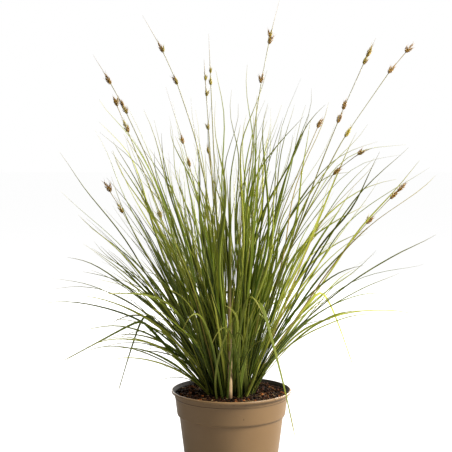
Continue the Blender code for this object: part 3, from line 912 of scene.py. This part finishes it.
def rings_below(tip, last):
    """The rings of three corners below a tip, down to the one that touches the last corners."""
    level = {tip}
    passed = {tip}
    rings = []
    while True:
        level = set().union(*(beside(corner) for corner in level)) - passed
        if len(level) != 3:
            return rings
        rings.append(in_order([corner.co.copy() for corner in level]))
        passed |= level
        if level & last:
            return rings


def middle_of(corners):
    return sum(in_order(corners), Vector()) / len(corners)


# %% [markdown]
# ### From three corners to a width and an upper side
#
# In a leaf's ring the longest side is its width, and the corner across from it is the ridge on
# its upper side. Near the tip the ring is almost even, and then the ridge is the corner that
# points most nearly the way the ridge below it did.

# %% Reading one ring
CLEARLY_WIDER = 1.2
TIP_HALF_WIDTH = 0.00008
FOOT_WIDER = 1.15  # the lowest ring joins the sheath, so its width comes from the ring above


def read_ring(corners, facing_below):
    """(middle, upper side, half width) of one ring of a leaf."""
    choices = []
    for index, ridge in enumerate(corners):
        left, right = corners[index - 1], corners[index - 2]
        choices.append(((left - right).length, (ridge - (left + right) / 2).normalized()))
    choices.sort(key=lambda choice: -choice[0])
    width, facing = choices[0]
    if facing_below and width < CLEARLY_WIDER * choices[1][0]:
        width, facing = max(choices, key=lambda choice: choice[1].dot(facing_below))
    return middle_of(corners), facing, width / 2


def read_leaves(node):
    """Each leaf of a shoot as a list of (point, upper side, half width), and its sheath."""
    shape = welded(node)
    foot = {corner for corner in shape.verts if abs(corner.co.z - FOOT) < 1e-5}
    collar = set().union(*(beside(corner) for corner in foot)) - foot
    root = middle_of([corner.co for corner in foot])
    top = middle_of([corner.co for corner in collar])
    sheath = foot | collar
    tips = [corner for corner in shape.verts if len(corner.link_edges) == 3]
    tips = [corner for corner in tips if corner not in sheath]
    tips.sort(key=lambda corner: corner.co.to_tuple(6))
    leaves = []
    for tip in tips:
        line = []
        facing = None
        for ring in reversed(rings_below(tip, collar)):
            point, facing, half = read_ring(ring, facing)
            line.append((point, facing, half))
        start = root + (line[0][0] - top) * 0.9
        if len(line) > 1:
            line[0] = (line[0][0], line[0][1], line[1][2] * FOOT_WIDER)
        line.insert(0, (start, line[0][1], line[0][2]))
        line.append((tip.co.copy(), facing, TIP_HALF_WIDTH))
        leaves.append(line)
    shape.free()
    return leaves, root, top


leafy = [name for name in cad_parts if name.startswith(("leaf_shoot", "bent_leaf"))]
plant = {name: read_leaves(name) for name in leafy}
blades = sum(len(leaves) for leaves, _, _ in plant.values())
print(len(plant), "shoots and single leaves,", blades, "blades")

# %% [markdown]
# ## The blade tree
#
# A sedge leaf is a narrow, keeled channel: its cross-section is a shallow V that thins to its
# edges. The tree sweeps such a section along every path. It starts from bare edges whose corners
# carry the upper side and the half width. A path can also get companions: copies that are turned
# a little about the foot and shortened, because a real shoot carries far more thin leaves than
# the solids do. Each blade stores how far along and how far across every point is, and a tone of
# its own, for the finish to use.

# %% Paths as a mesh of edges
def path_mesh(name, lines, root):
    """Bare edges along some leaves, with what the tree needs stored on their corners."""
    points, edges, facings, halves = [], [], [], []
    for line in lines:
        for index, (point, facing, half) in enumerate(line):
            if index:
                edges.append((len(points) - 1, len(points)))
            points.append(point)
            facings.extend(facing)
            halves.append(half)
    mesh = bpy.data.meshes.new(name)
    mesh.from_pydata(points, edges, [])
    mesh.attributes.new("facing", "FLOAT_VECTOR", "POINT").data.foreach_set("vector", facings)
    mesh.attributes.new("half_width", "FLOAT", "POINT").data.foreach_set("value", halves)
    roots = [part for _ in points for part in root]
    mesh.attributes.new("root", "FLOAT_VECTOR", "POINT").data.foreach_set("vector", roots)
    return mesh


# %% The tree that turns paths into blades
DEAD_FROM = 0.955  # leaves with a tone above this have dried up
blade_tree, given = start_tree(
    "blades",
    {
        "Companions": "Int",
        "Swing": "Float",
        "Shortest": "Float",
        "Steps": "Int",
        "Fold": "Float",
        "Thickness": "Float",
        "Width": "Float",
        "Foot Width": "Float",
        "Twist": "Float",
        "Finest": "Float",
        "Waver": "Float",
        "Seed": "Int",
        "Finish": "Material",
    },
)
paths = blade_tree.add("GeometryNodeMeshToCurve", {}, {"Mesh": given["Geometry"]})
copies = blade_tree.add(
    "GeometryNodeDuplicateElements",
    {"domain": "SPLINE"},
    {"Geometry": paths, "Amount": given["Companions"] + 1},
)
companion = blade_tree.above(copies.other("Duplicate Index"), 0.5)
number = blade_tree.add(
    "GeometryNodeFieldOnDomain",
    {"domain": "CURVE", "data_type": "INT"},
    {"Value": blade_tree.add("GeometryNodeInputIndex")},
)
companion = blade_tree.add(
    "GeometryNodeFieldOnDomain", {"domain": "CURVE", "data_type": "FLOAT"}, {"Value": companion}
)


def by_blade(salt, low, high, kind="FLOAT"):
    """A random value that is the same all along one blade."""
    return chance(blade_tree, given["Seed"] + salt, low, high, kind, number)


swing = by_blade(1, (-0.45, -0.45, -1), (0.45, 0.45, 1), "FLOAT_VECTOR")
swing = blade_tree.vectors("SCALE", swing, given["Swing"] * companion)
aside = by_blade(2, (-0.0022, -0.0022, 0), (0.0022, 0.0022, 0), "FLOAT_VECTOR")
aside = blade_tree.vectors("SCALE", aside, companion)
root = blade_tree.named("root", "FLOAT_VECTOR")
spot = blade_tree.add("GeometryNodeInputPosition")
from_root = blade_tree.vectors("SUBTRACT", spot, root)
turned_by = blade_tree.add(
    "ShaderNodeVectorRotate",
    {"rotation_type": "EULER_XYZ"},
    {"Vector": from_root, "Rotation": swing},
)
share = 1 - companion * (1 - by_blade(3, given["Shortest"], 0.98))
placed = blade_tree.vectors("ADD", blade_tree.vectors("SCALE", turned_by, share), root)
moved = blade_tree.shift(copies, Position=blade_tree.vectors("ADD", placed, aside))
toned = blade_tree.store(moved, "tone", by_blade(4, 0.0, 1.0))
shrunk = 1 - blade_tree.above(by_blade(4, 0.0, 1.0), DEAD_FROM) * 0.4
thinned = (1.10 - companion * by_blade(5, 0.05, 0.5)) * shrunk
slim = blade_tree.store(toned, "slim", thinned * given["Width"])
stray = by_blade(6, (0, 0, 0), (9, 9, 9), "FLOAT_VECTOR")
strayed = blade_tree.store(slim, "stray", stray, data_type="FLOAT_VECTOR")
turned_own = blade_tree.store(strayed, "roll", by_blade(7, -0.9, 0.9))
twisted = blade_tree.store(turned_own, "twist", by_blade(8, -1.6, 1.6))
fine = blade_tree.smooth_path(twisted, given["Steps"])
along = blade_tree.add("GeometryNodeSplineParameter")
marked = blade_tree.store(fine, "along", along)
own_place = blade_tree.vectors("ADD", spot, blade_tree.named("stray", "FLOAT_VECTOR"))
drift = blade_tree.add("ShaderNodeTexNoise", {}, {"Vector": own_place, "Scale": 6.0, "Detail": 0.0})
drift = blade_tree.vectors("SUBTRACT", drift.other("Color"), (0.5, 0.5, 0.5))
drift = blade_tree.vectors("SCALE", drift, along * given["Waver"])
wavering = blade_tree.shift(marked, Offset=drift)
faced = blade_tree.add(
    "GeometryNodeSetCurveNormal",
    {"mode": "FREE"},
    {"Curve": wavering, "Normal": blade_tree.named("facing", "FLOAT_VECTOR")},
)
along = blade_tree.named("along")
roll = (blade_tree.named("roll") + along * blade_tree.named("twist")) * given["Twist"]
rolled = blade_tree.add("GeometryNodeSetCurveTilt", {}, {"Curve": faced, "Tilt": roll})
broader = given["Foot Width"] + (1.12 - given["Foot Width"]) * blade_tree.ease(along, 0.10, 0.60)
half = blade_tree.named("half_width") * blade_tree.named("slim") * broader
finest = (1 - blade_tree.ease(along, 0.93, 1.0)) * given["Finest"]
sized = blade_tree.add(
    "GeometryNodeSetCurveRadius",
    {},
    {"Curve": rolled, "Radius": blade_tree.maths("MAXIMUM", half, finest)},
)
ring = blade_tree.add("GeometryNodeCurvePrimitiveCircle", {}, {"Resolution": 8, "Radius": 1.0})
ring_place = blade_tree.split(spot)
x, y = ring_place.other("X"), ring_place.other("Y")
folded = y * given["Thickness"] + (blade_tree.maths("ABSOLUTE", x) - 0.5) * given["Fold"]
section = blade_tree.shift(ring, Position=blade_tree.join(X=folded, Y=0 - x))
section = blade_tree.store(section, "across", ring_place.other("Y"))
blade_tree.sweep(sized, section, given["Finish"])
print("blade tree:", len(blade_tree.tree.nodes), "nodes")

# %% Growing blades, from plain values and what differs
PLAIN_BLADE = {
    "Companions": 0,
    "Swing": 0.0,
    "Shortest": 1.0,
    "Fold": 0.6,
    "Thickness": 0.17,
    "Twist": 1.0,
    "Width": 1.0,
    "Foot Width": 1.0,
}


def grow_blades(name, lines, root, values):
    return grow(name, path_mesh(name, lines, root), blade_tree, {**PLAIN_BLADE, **values})


print(len(PLAIN_BLADE), "plain values")

# %% [markdown]
# ## The leaf finish
#
# Seen close, one sedge leaf runs through many colours. Its foot is dark and a little brown where
# old sheaths clasp it, and darker still from painted shade, the shade deep in the crown; then it
# turns olive and mid green, the tip dries to straw, and the keel and the edges are paler. From leaf
# to leaf the green wanders between deep and yellow, and a few leaves have died back to ochre. The
# finish reads `along`, `across` and `tone` and needs no picture. Fine lengthwise veins come from a
# noise that is stretched along the leaf.

# %% The leaf finish
# The foot colour is the leaf's own dark sheath colour and painted shade of the crown together, and
# the last value is how far up the leaf it reaches.
def leaf_finish(name, deep, middle, bright, foot, foot_shade_reach):
    made, board, shader = new_finish(name)
    along, across = attribute(board, "along"), attribute(board, "across")
    tone = attribute(board, "tone")
    streaks = noise(board, board.join(X=across * 2.6, Y=along * 5, Z=tone * 97), 1.6, 3)
    veins = noise(board, board.join(X=across * 9, Y=along * 3, Z=tone * 31), 1.4, 2)
    green = board.mix(board.ease(tone, 0.15, 0.60), deep, middle)
    green = board.mix(board.ease(tone, 0.62, 0.86), green, bright)
    green = board.mix(board.ease(streaks, 0.45, 0.75) * 0.5, green, bright)
    edge = board.ease(board.maths("ABSOLUTE", across), 0.72, 1.0)
    green = board.mix(edge * 0.55, green, shade(186, 192, 88))
    dead = board.ease(tone, DEAD_FROM, DEAD_FROM + 0.01)
    green = board.mix(dead, green, shade(178, 150, 84))
    tip = board.ease(along + (streaks - 0.5) * 0.3, 0.82, 1.0)
    green = board.mix(tip * 0.7, green, shade(196, 176, 108))
    green = board.mix(board.ease(along, 0.35, 0.90) * 0.35, green, shade(170, 172, 50))
    # Painted shade: the foot is darkened towards the soil, partly its own sheath colour and partly
    # the shade deep in the crown.
    low = 1 - board.ease(along + (streaks - 0.5) * 0.05, 0.0, foot_shade_reach)
    low = low * (0.90 - edge * 0.35) * (1 - board.ease(tone, 0.66, 0.82) * 0.6)
    green = board.mix(low, green, foot)
    board.plug(
        shader,
        {
            "Base Color": green,
            "Roughness": 0.42 + streaks * 0.16 + dead * 0.2,
            "Normal": bump(board, veins, 0.35, 0.0003),
            "Specular IOR Level": 0.32,
        },
    )
    return made


# The nearly black foot colour here is partly painted shade.
leaf_green = leaf_finish(
    "sedge_leaf", shade(28, 56, 3), shade(80, 108, 12), shade(194, 198, 80), shade(12, 22, 2), 0.34
)
bright_leaf = leaf_finish(
    "young_leaf",
    shade(84, 104, 26),
    shade(112, 126, 40),
    shade(146, 154, 70),
    shade(70, 88, 26),
    0.16,
)

# %% [markdown]
# ## Growing the shoots
#
# Every leaf of a shoot gets one companion, except in shoots that lean far to the right, which
# stay airy. Inner shoots swing their companions wider and cut them shorter. The single leaves
# have none: they keep their paths and turn their broad upper side forward, and those in front
# are a brighter green. All get their own seed, which keeps any two from looking alike.

# %% Dress every shoot and every single leaf
OUTER_SHOOTS = 19
OUT_FRONT = Vector((0, -1.5, 0))  # draws a single leaf's upper side forward
FRONT_LEAVES = ("bent_leaf_04", "bent_leaf_05", "bent_leaf_06")
AIRY_FROM = 0.11  # shoots whose leaves end further right than this get no companions
OUTER = {
    "Swing": 0.06,
    "Shortest": 0.50,
    "Steps": 22,
    "Finest": 0.00045,
    "Width": 1.22,
    "Foot Width": 0.46,
    "Waver": 0.060,
}
INNER = {**OUTER, "Swing": 0.07, "Shortest": 0.40, "Waver": 0.075}
SINGLE = {
    "Steps": 36,
    "Fold": 0.34,
    "Twist": 0.0,
    "Finest": 0.0008,
    "Width": 1.25,
    "Foot Width": 1.1,
    "Waver": 0.0,
}


def forward(line):
    """A leaf's path with its upper side drawn forward."""
    return [(point, (facing + OUT_FRONT).normalized(), half) for point, facing, half in line]


total = 0
for index, (node, (lines, root, _)) in enumerate(sorted(plant.items())):
    if node.startswith("bent_leaf"):
        lines = [forward(line) for line in lines]
        name, values = node.replace("bent_leaf", "folded_leaf"), SINGLE
    else:
        name = node.replace("leaf_shoot", "shoot_leaves")
        leans = sum(line[-1][0].x for line in lines) / len(lines)
        values = INNER if int(node[-2:]) > OUTER_SHOOTS else OUTER
        values = {**values, "Companions": 0 if leans > AIRY_FROM else 1}
    finish = bright_leaf if node in FRONT_LEAVES else leaf_green
    values = {**values, "Seed": 100 + 17 * index, "Finish": finish}
    piece = grow_blades(name, lines, root, values)
    hand_over(piece, "leaf", node)
    total += triangles(piece)
print(len(plant), "pieces of leaves,", total, "triangles")

# %% [markdown]
# ## Filling the crown
#
# Between the shoots' sheaths a sedge is stuffed with thinner leaves: this year's short ones and
# the stubs of old ones. They hide the back of the clump near the soil. They have no solids of
# their own, so their paths are drawn by chance: the further out a leaf starts, the more it leans.

# %% Draw the fillers and grow them
draw = random.Random(71)
FILLERS = 170
CROWN = 0.035
FILLER_STEPS = 5
fillers = []
for _ in range(FILLERS):
    angle, out = draw.uniform(0, math.tau), CROWN * math.sqrt(draw.random())
    start = Vector((out * math.cos(angle), 0.85 * out * math.sin(angle), FOOT))
    length = draw.uniform(0.09, 0.30)
    away = Vector((start.x, start.y, 0)) / CROWN
    away += Vector((draw.gauss(0, 0.22), draw.gauss(0, 0.22), 0))
    half = draw.uniform(0.0006, 0.0012)
    facing = (away + Vector((0, -0.3, 0.4))).normalized()
    filler = []
    for step in range(FILLER_STEPS + 1):
        share = step / FILLER_STEPS
        place = start + Vector((0, 0, length * share * (1 - 0.16 * share * away.length)))
        place += away * length * (0.26 * share + 0.30 * share**2)
        filler.append((place, facing, half * (1 - share**3) + 0.0001))
    fillers.append(filler)
filler_leaves = grow_blades(
    "crown_leaves",
    fillers,
    Vector((0, 0, FOOT)),
    {
        "Steps": 14,
        "Finest": 0.0003,
        "Foot Width": 0.9,
        "Waver": 0.03,
        "Seed": 7,
        "Finish": leaf_green,
    },
)
hand_over(filler_leaves, "leaf")
print("crown leaves:", triangles(filler_leaves), "triangles")

# %% [markdown]
# ## Thin leaves that arch across the front
#
# A few of the thinnest leaves start low in front, rise and bow over again, across the others. A
# quadratic curve gives such an arch with three points: it starts at a foot, heads for a pull and
# ends at a tip.

# %% Bend and grow the front arches
arches = (
    ((-0.006, -0.044, FOOT), (0.006, -0.098, 0.300), (0.022, -0.108, 0.170)),
    ((-0.020, -0.042, FOOT), (-0.032, -0.092, 0.190), (0.012, -0.112, 0.268)),
    ((0.010, -0.042, FOOT), (0.006, -0.100, 0.330), (0.040, -0.112, 0.250)),
    ((0.014, -0.042, FOOT), (0.002, -0.098, 0.280), (-0.026, -0.110, 0.214)),
    ((-0.012, -0.042, FOOT), (-0.034, -0.094, 0.300), (-0.062, -0.106, 0.232)),
)
ARCH_STEPS = 8
ARCH_FACING = Vector((0, -1, 0.2)).normalized()
arch_lines = []
for foot, pull, tip in arches:
    foot, pull, tip = Vector(foot), Vector(pull), Vector(tip)
    line = []
    for step in range(ARCH_STEPS + 1):
        share = step / ARCH_STEPS
        place = foot.lerp(pull, share).lerp(pull.lerp(tip, share), share)
        line.append((place, ARCH_FACING, 0.0009 * (1 - share**3) + 0.0002))
    arch_lines.append(line)
front_arches = grow_blades(
    "front_arches",
    arch_lines,
    Vector((0, 0, FOOT)),
    {
        "Steps": 28,
        "Fold": 0.5,
        "Thickness": 0.2,
        "Twist": 0.3,
        "Finest": 0.0004,
        "Waver": 0.012,
        "Seed": 31,
        "Finish": bright_leaf,
    },
)
hand_over(front_arches, "leaf")
print("front arches:", triangles(front_arches), "triangles")

# %% [markdown]
# ## The stout stem
#
# One stem in front is thicker than the rest: a pale, dry sheath at its foot that turns green
# higher up and lets bright leaves go. It is a round tube that follows the solid's sheath and runs
# on past its top, thinning until its leaves hide it. The leaves come from the blade tree. The
# tube's tree is the simplest sweep: a path, a radius and a ring.

# %% The tube tree
RIB_COUNT = 6
tube_tree, given = start_tree(
    "tubes",
    {"Steps": "Int", "Sides": "Int", "Ribs": "Float", "Finish": "Material"},
)
paths = tube_tree.add("GeometryNodeMeshToCurve", {}, {"Mesh": given["Geometry"]})
fine = tube_tree.smooth_path(paths, given["Steps"])
marked = tube_tree.store(fine, "along", tube_tree.add("GeometryNodeSplineParameter"))
sized = tube_tree.add(
    "GeometryNodeSetCurveRadius", {}, {"Curve": marked, "Radius": tube_tree.named("half_width")}
)
ring = tube_tree.add(
    "GeometryNodeCurvePrimitiveCircle", {}, {"Resolution": given["Sides"], "Radius": 1.0}
)
turn = tube_tree.add("GeometryNodeSplineParameter") * math.tau
ribbed = tube_tree.vectors(
    "SCALE",
    tube_tree.add("GeometryNodeInputPosition"),
    1 + tube_tree.maths("SINE", turn * RIB_COUNT) * given["Ribs"],
)
section = tube_tree.shift(ring, Position=ribbed)
section = tube_tree.store(section, "across", tube_tree.add("GeometryNodeSplineParameter"))
tube_tree.sweep(sized, section, given["Finish"])

# %% Finishes of the stout stem
cane, board, shader = new_finish("dry_sheath")
along, across = attribute(board, "along"), attribute(board, "across")
fibre_place = board.join(X=across * 40, Y=along * 6)
fibres = noise(board, fibre_place, 1.5, 4)
blotches = noise(board, fibre_place, 0.22, 3)
colour = board.mix(board.ease(fibres, 0.35, 0.7), shade(206, 170, 120), shade(236, 210, 166))
greening = board.ease(along + (blotches - 0.5) * 0.12, 0.40, 0.58)
colour = board.mix(greening, colour, shade(146, 140, 66))
colour = board.mix(board.ease(along, 0.6, 0.9), colour, shade(150, 158, 60))
colour = board.mix((1 - board.ease(along, 0.01, 0.05)) * 0.8, colour, shade(104, 72, 46))
board.plug(
    shader,
    {
        "Base Color": colour,
        "Roughness": 0.48 + fibres * 0.15,
        "Normal": bump(board, fibres, 0.4, 0.0004),
    },
)

# %% Build the stem and its leaves
lines, root, top = read_leaves("stout_stem")
# Each width belongs to a height, counted in sheath lengths.
STEM_WIDTHS = {0.0: 0.0032, 0.3: 0.0031, 0.7: 0.0029, 1.1: 0.0024, 1.6: 0.0017, 2.1: 0.0004}
facing = Vector((0, -1, 0))
stem_line = [(root.lerp(top, share), facing, half) for share, half in STEM_WIDTHS.items()]
stem = grow(
    "stout_stem_sheath",
    path_mesh("stem", [stem_line], root),
    tube_tree,
    {"Steps": 24, "Sides": 24, "Ribs": 0.03, "Finish": cane},
)
hand_over(stem, "straw", "stout_stem")
stem_leaves = []
for line in lines:
    part_way = root.lerp(top, 0.72) + (line[0][0] - root) * 0.8
    stem_leaves.append([(part_way, line[0][1], 0.0012), *line[1:]])
leaves = grow_blades(
    "stout_stem_leaves",
    stem_leaves,
    top,
    {
        "Companions": 1,
        "Swing": 0.05,
        "Shortest": 0.55,
        "Steps": 26,
        "Fold": 0.4,
        "Thickness": 0.18,
        "Twist": 0.3,
        "Finest": 0.0004,
        "Waver": 0.004,
        "Seed": 9,
        "Finish": bright_leaf,
    },
)
hand_over(leaves, "leaf", "stout_stem")
print("stout stem:", triangles(stem) + triangles(leaves), "triangles")

# %% [markdown]
# ## Flower stalks and their seed heads
#
# A sedge stalk is a thin wiry stem with a few brown spikelets near its top, each a spindle of
# overlapping pointed scales that ends in a bristle. The stalk solids swell where a spikelet sits,
# so reading their rings gives both the stem and the places of the heads.

# %% Read the stalks
THICKER = 0.0016  # a ring wider than this is a spikelet, not stem
STEM_RADIUS = 0.0007  # what the stem keeps inside a spikelet
STEM_FACING = Vector((0, -1, 0))


def read_stalk(node):
    """(stem line, heads) of a stalk. A head is its place and the way the stem runs there."""
    shape = welded(node)
    ends = [corner for corner in shape.verts if len(corner.link_edges) == 3]
    tip = max(ends, key=lambda corner: corner.co.z)
    rings = list(reversed(rings_below(tip, set())))
    end = tip.co.copy()
    shape.free()
    middles = [middle_of(ring) for ring in rings]
    radii = [(ring[0] - middle).length for ring, middle in zip(rings, middles)]
    line, heads = [], []
    for index, (middle, radius) in enumerate(zip(middles, radii)):
        after = middles[index + 1] if index + 1 < len(middles) else end
        before = middles[max(0, index - 1)]
        if radius > THICKER:
            heads.append((middle, (after - before).normalized()))
            radius = STEM_RADIUS
        line.append((middle, STEM_FACING, radius))
    line.append((end, STEM_FACING, 0.0001))
    return line, heads


stalk_nodes = sorted(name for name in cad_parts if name.startswith("flower_stalk"))
stalks = {name: read_stalk(name) for name in stalk_nodes}
print(len(stalks), "stalks with", sum(len(heads) for _, heads in stalks.values()), "seed heads")

# %% [markdown]
# ### One spikelet
#
# The scales stand in a spiral, like those of a fir cone, each a folded pointed boat. The golden
# angle from one to the next keeps them from lining up, and two long bristles stand out of the
# top. It is modelled about one metre long, and the scale of its copies is its real length.

# %% Model a spikelet
GOLDEN = math.radians(137.508)


def folded_scale(shape, base, out, up, length, width, depth):
    """A pointed boat of eight faces: foot, tip, two sides, a keel and a hollow."""
    side = out.cross(up).normalized()
    middle = base + up * length * 0.42 + out * depth * 0.7
    foot = shape.verts.new(base)
    tip = shape.verts.new(base + up * length + out * depth * 0.9)
    left = shape.verts.new(middle - side * width / 2 - out * depth * 0.5)
    right = shape.verts.new(middle + side * width / 2 - out * depth * 0.5)
    keel = shape.verts.new(middle + out * depth * 0.6)
    hollow = shape.verts.new(middle - out * depth * 0.9)
    for a, b in ((left, keel), (keel, right), (right, hollow), (hollow, left)):
        shape.faces.new((foot, a, b))
        shape.faces.new((tip, b, a))


def spikelet(name, scales):
    shape = bmesh.new()
    for index in range(scales):
        share = index / (scales - 1)
        angle = index * GOLDEN
        out = Vector((math.cos(angle), math.sin(angle), 0))
        plump = 0.082 * math.sin(math.pi * min(1, 0.16 + share * 0.8)) ** 0.8
        place = Vector((0, 0, share * 0.66)) + out * plump * 0.55
        up = (Vector((0, 0, 1)) + out * (0.34 - 0.34 * share)).normalized()
        length, width = 0.30 - 0.05 * share, 0.105 - 0.035 * share
        folded_scale(shape, place, out, up, length, width, plump * 0.6 + 0.010)
    for bristle in range(2):
        angle = bristle * 2.4
        out = Vector((math.cos(angle), math.sin(angle), 0))
        up = (Vector((0, 0, 1)) + out * 0.25).normalized()
        folded_scale(shape, Vector((0, 0, 0.62)), out, up, 0.52, 0.028, 0.016)
    bmesh.ops.recalc_face_normals(shape, faces=shape.faces)
    return as_object(name, shape)


# %% The seed head tree
head_tree, given = start_tree(
    "seed_heads",
    {
        "Spikelet": "Object",
        "Each": "Int",
        "Smallest": "Float",
        "Largest": "Float",
        "Splay": "Float",
        "Lowest Tone": "Float",
        "Seed": "Int",
        "Finish": "Material",
    },
)
places = head_tree.add("GeometryNodeMeshToPoints", {}, {"Mesh": given["Geometry"]})
copies = head_tree.add(
    "GeometryNodeDuplicateElements",
    {"domain": "POINT"},
    {"Geometry": places, "Amount": given["Each"]},
)
beside_first = head_tree.above(copies.other("Duplicate Index"), 0.5)
stray = chance(head_tree, given["Seed"], (-1, -1, -0.3), (1, 1, 0.4), "FLOAT_VECTOR")
splayed = head_tree.vectors("SCALE", stray, given["Splay"] * beside_first)
heading = head_tree.vectors("ADD", head_tree.named("heading", "FLOAT_VECTOR"), splayed)
aim = head_tree.add("FunctionNodeAlignRotationToVector", {"axis": "Z"}, {"Vector": heading})
spin = chance(head_tree, given["Seed"] + 1, (0, 0, 0), (0, 0, math.tau), "FLOAT_VECTOR")
spun = head_tree.add(
    "FunctionNodeRotateRotation",
    {"rotation_space": "LOCAL"},
    {"Rotation": aim, "Rotate By": spin},
)
small = 1 - beside_first * 0.22
size = chance(head_tree, given["Seed"] + 2, given["Smallest"], given["Largest"]) * small
model = head_tree.add("GeometryNodeObjectInfo", {}, {"Object": given["Spikelet"]}).other("Geometry")
set_out = head_tree.add(
    "GeometryNodeInstanceOnPoints",
    {},
    {"Points": copies, "Instance": model, "Rotation": spun, "Scale": size},
)
tone = chance(head_tree, given["Seed"] + 3, given["Lowest Tone"], 1.0)
toned = head_tree.store(set_out, "tone", tone, domain="INSTANCE")
head_tree.close(toned, given["Finish"])

# %% [markdown]
# ### Stem and seed finishes
#
# The stems are green wire that turns straw above. Ripe scales are brown with golden flecks,
# young ones yellow green, and whole heads differ, because some have ripened and some have not.

# %% The finishes
wire, board, shader = new_finish("stalk_green")
along, across = attribute(board, "along"), attribute(board, "across")
lines_on_it = noise(board, board.join(X=across * 9, Y=along * 14), 1.5, 3)
colour = board.mix(board.ease(along, 0.15, 0.75), shade(92, 106, 40), shade(146, 140, 66))
colour = board.mix(board.ease(along, 0.84, 1.0), colour, shade(168, 144, 92))
colour = board.mix(board.ease(lines_on_it, 0.5, 0.8) * 0.4, colour, shade(184, 172, 104))
board.plug(
    shader,
    {"Base Color": colour, "Roughness": 0.45, "Normal": bump(board, lines_on_it, 0.3, 0.0003)},
)

seed, board, shader = new_finish("seed_scales")
place = board.add("ShaderNodeTexCoord").other("Object")
tone = attribute(board, "tone")
flecks = noise(board, place, 620, 3)
ripe = board.mix(board.ease(flecks, 0.36, 0.62), shade(96, 64, 18), shade(180, 138, 54))
young = board.mix(board.ease(flecks, 0.36, 0.62), shade(140, 128, 30), shade(204, 184, 76))
colour = board.mix(board.ease(tone, 0.55, 0.9), ripe, young)
board.plug(
    shader,
    {"Base Color": colour, "Roughness": 0.6, "Normal": bump(board, flecks, 0.4, 0.0003)},
)

# %% Build the stalks
SPIKELET_SCALES = 18
# A stalk that ends this near to this place, left to right, is young: small green heads.
YOUNG_MIDDLE, YOUNG_REACH = -0.03, 0.03
HEAD_BACK = 0.0055  # a spikelet's foot sits this far below the middle of its swelling
spikelet_model = spikelet("spikelet", SPIKELET_SCALES)
total = 0
for index, (node, (line, heads)) in enumerate(stalks.items()):
    number_of_it = node[-2:]
    young_stalk = abs(line[-1][0].x - YOUNG_MIDDLE) < YOUNG_REACH
    stem_piece = grow(
        "stalk_" + number_of_it,
        path_mesh("stalk", [line], line[0][0]),
        tube_tree,
        {"Steps": 44, "Sides": 7, "Ribs": 0.0, "Finish": wire},
    )
    hand_over(stem_piece, "flower_stalk", node)
    head_mesh = bpy.data.meshes.new("heads")
    head_mesh.from_pydata([place - way * HEAD_BACK for place, way in heads], [], [])
    ways = [part for _, way in heads for part in way]
    head_mesh.attributes.new("heading", "FLOAT_VECTOR", "POINT").data.foreach_set("vector", ways)
    head_piece = grow(
        "seed_heads_" + number_of_it,
        head_mesh,
        head_tree,
        {
            "Spikelet": spikelet_model,
            "Each": 3,
            "Smallest": 0.0105 if young_stalk else 0.0145,
            "Largest": 0.0150 if young_stalk else 0.0215,
            "Splay": 0.50,
            "Lowest Tone": 0.75 if young_stalk else 0.0,
            "Seed": 40 + 5 * index,
            "Finish": seed,
        },
    )
    hand_over(head_piece, "flower_stalk", node)
    total += triangles(stem_piece) + triangles(head_piece)
bpy.data.objects.remove(spikelet_model)
print(len(stalks), "stalks,", total, "triangles")
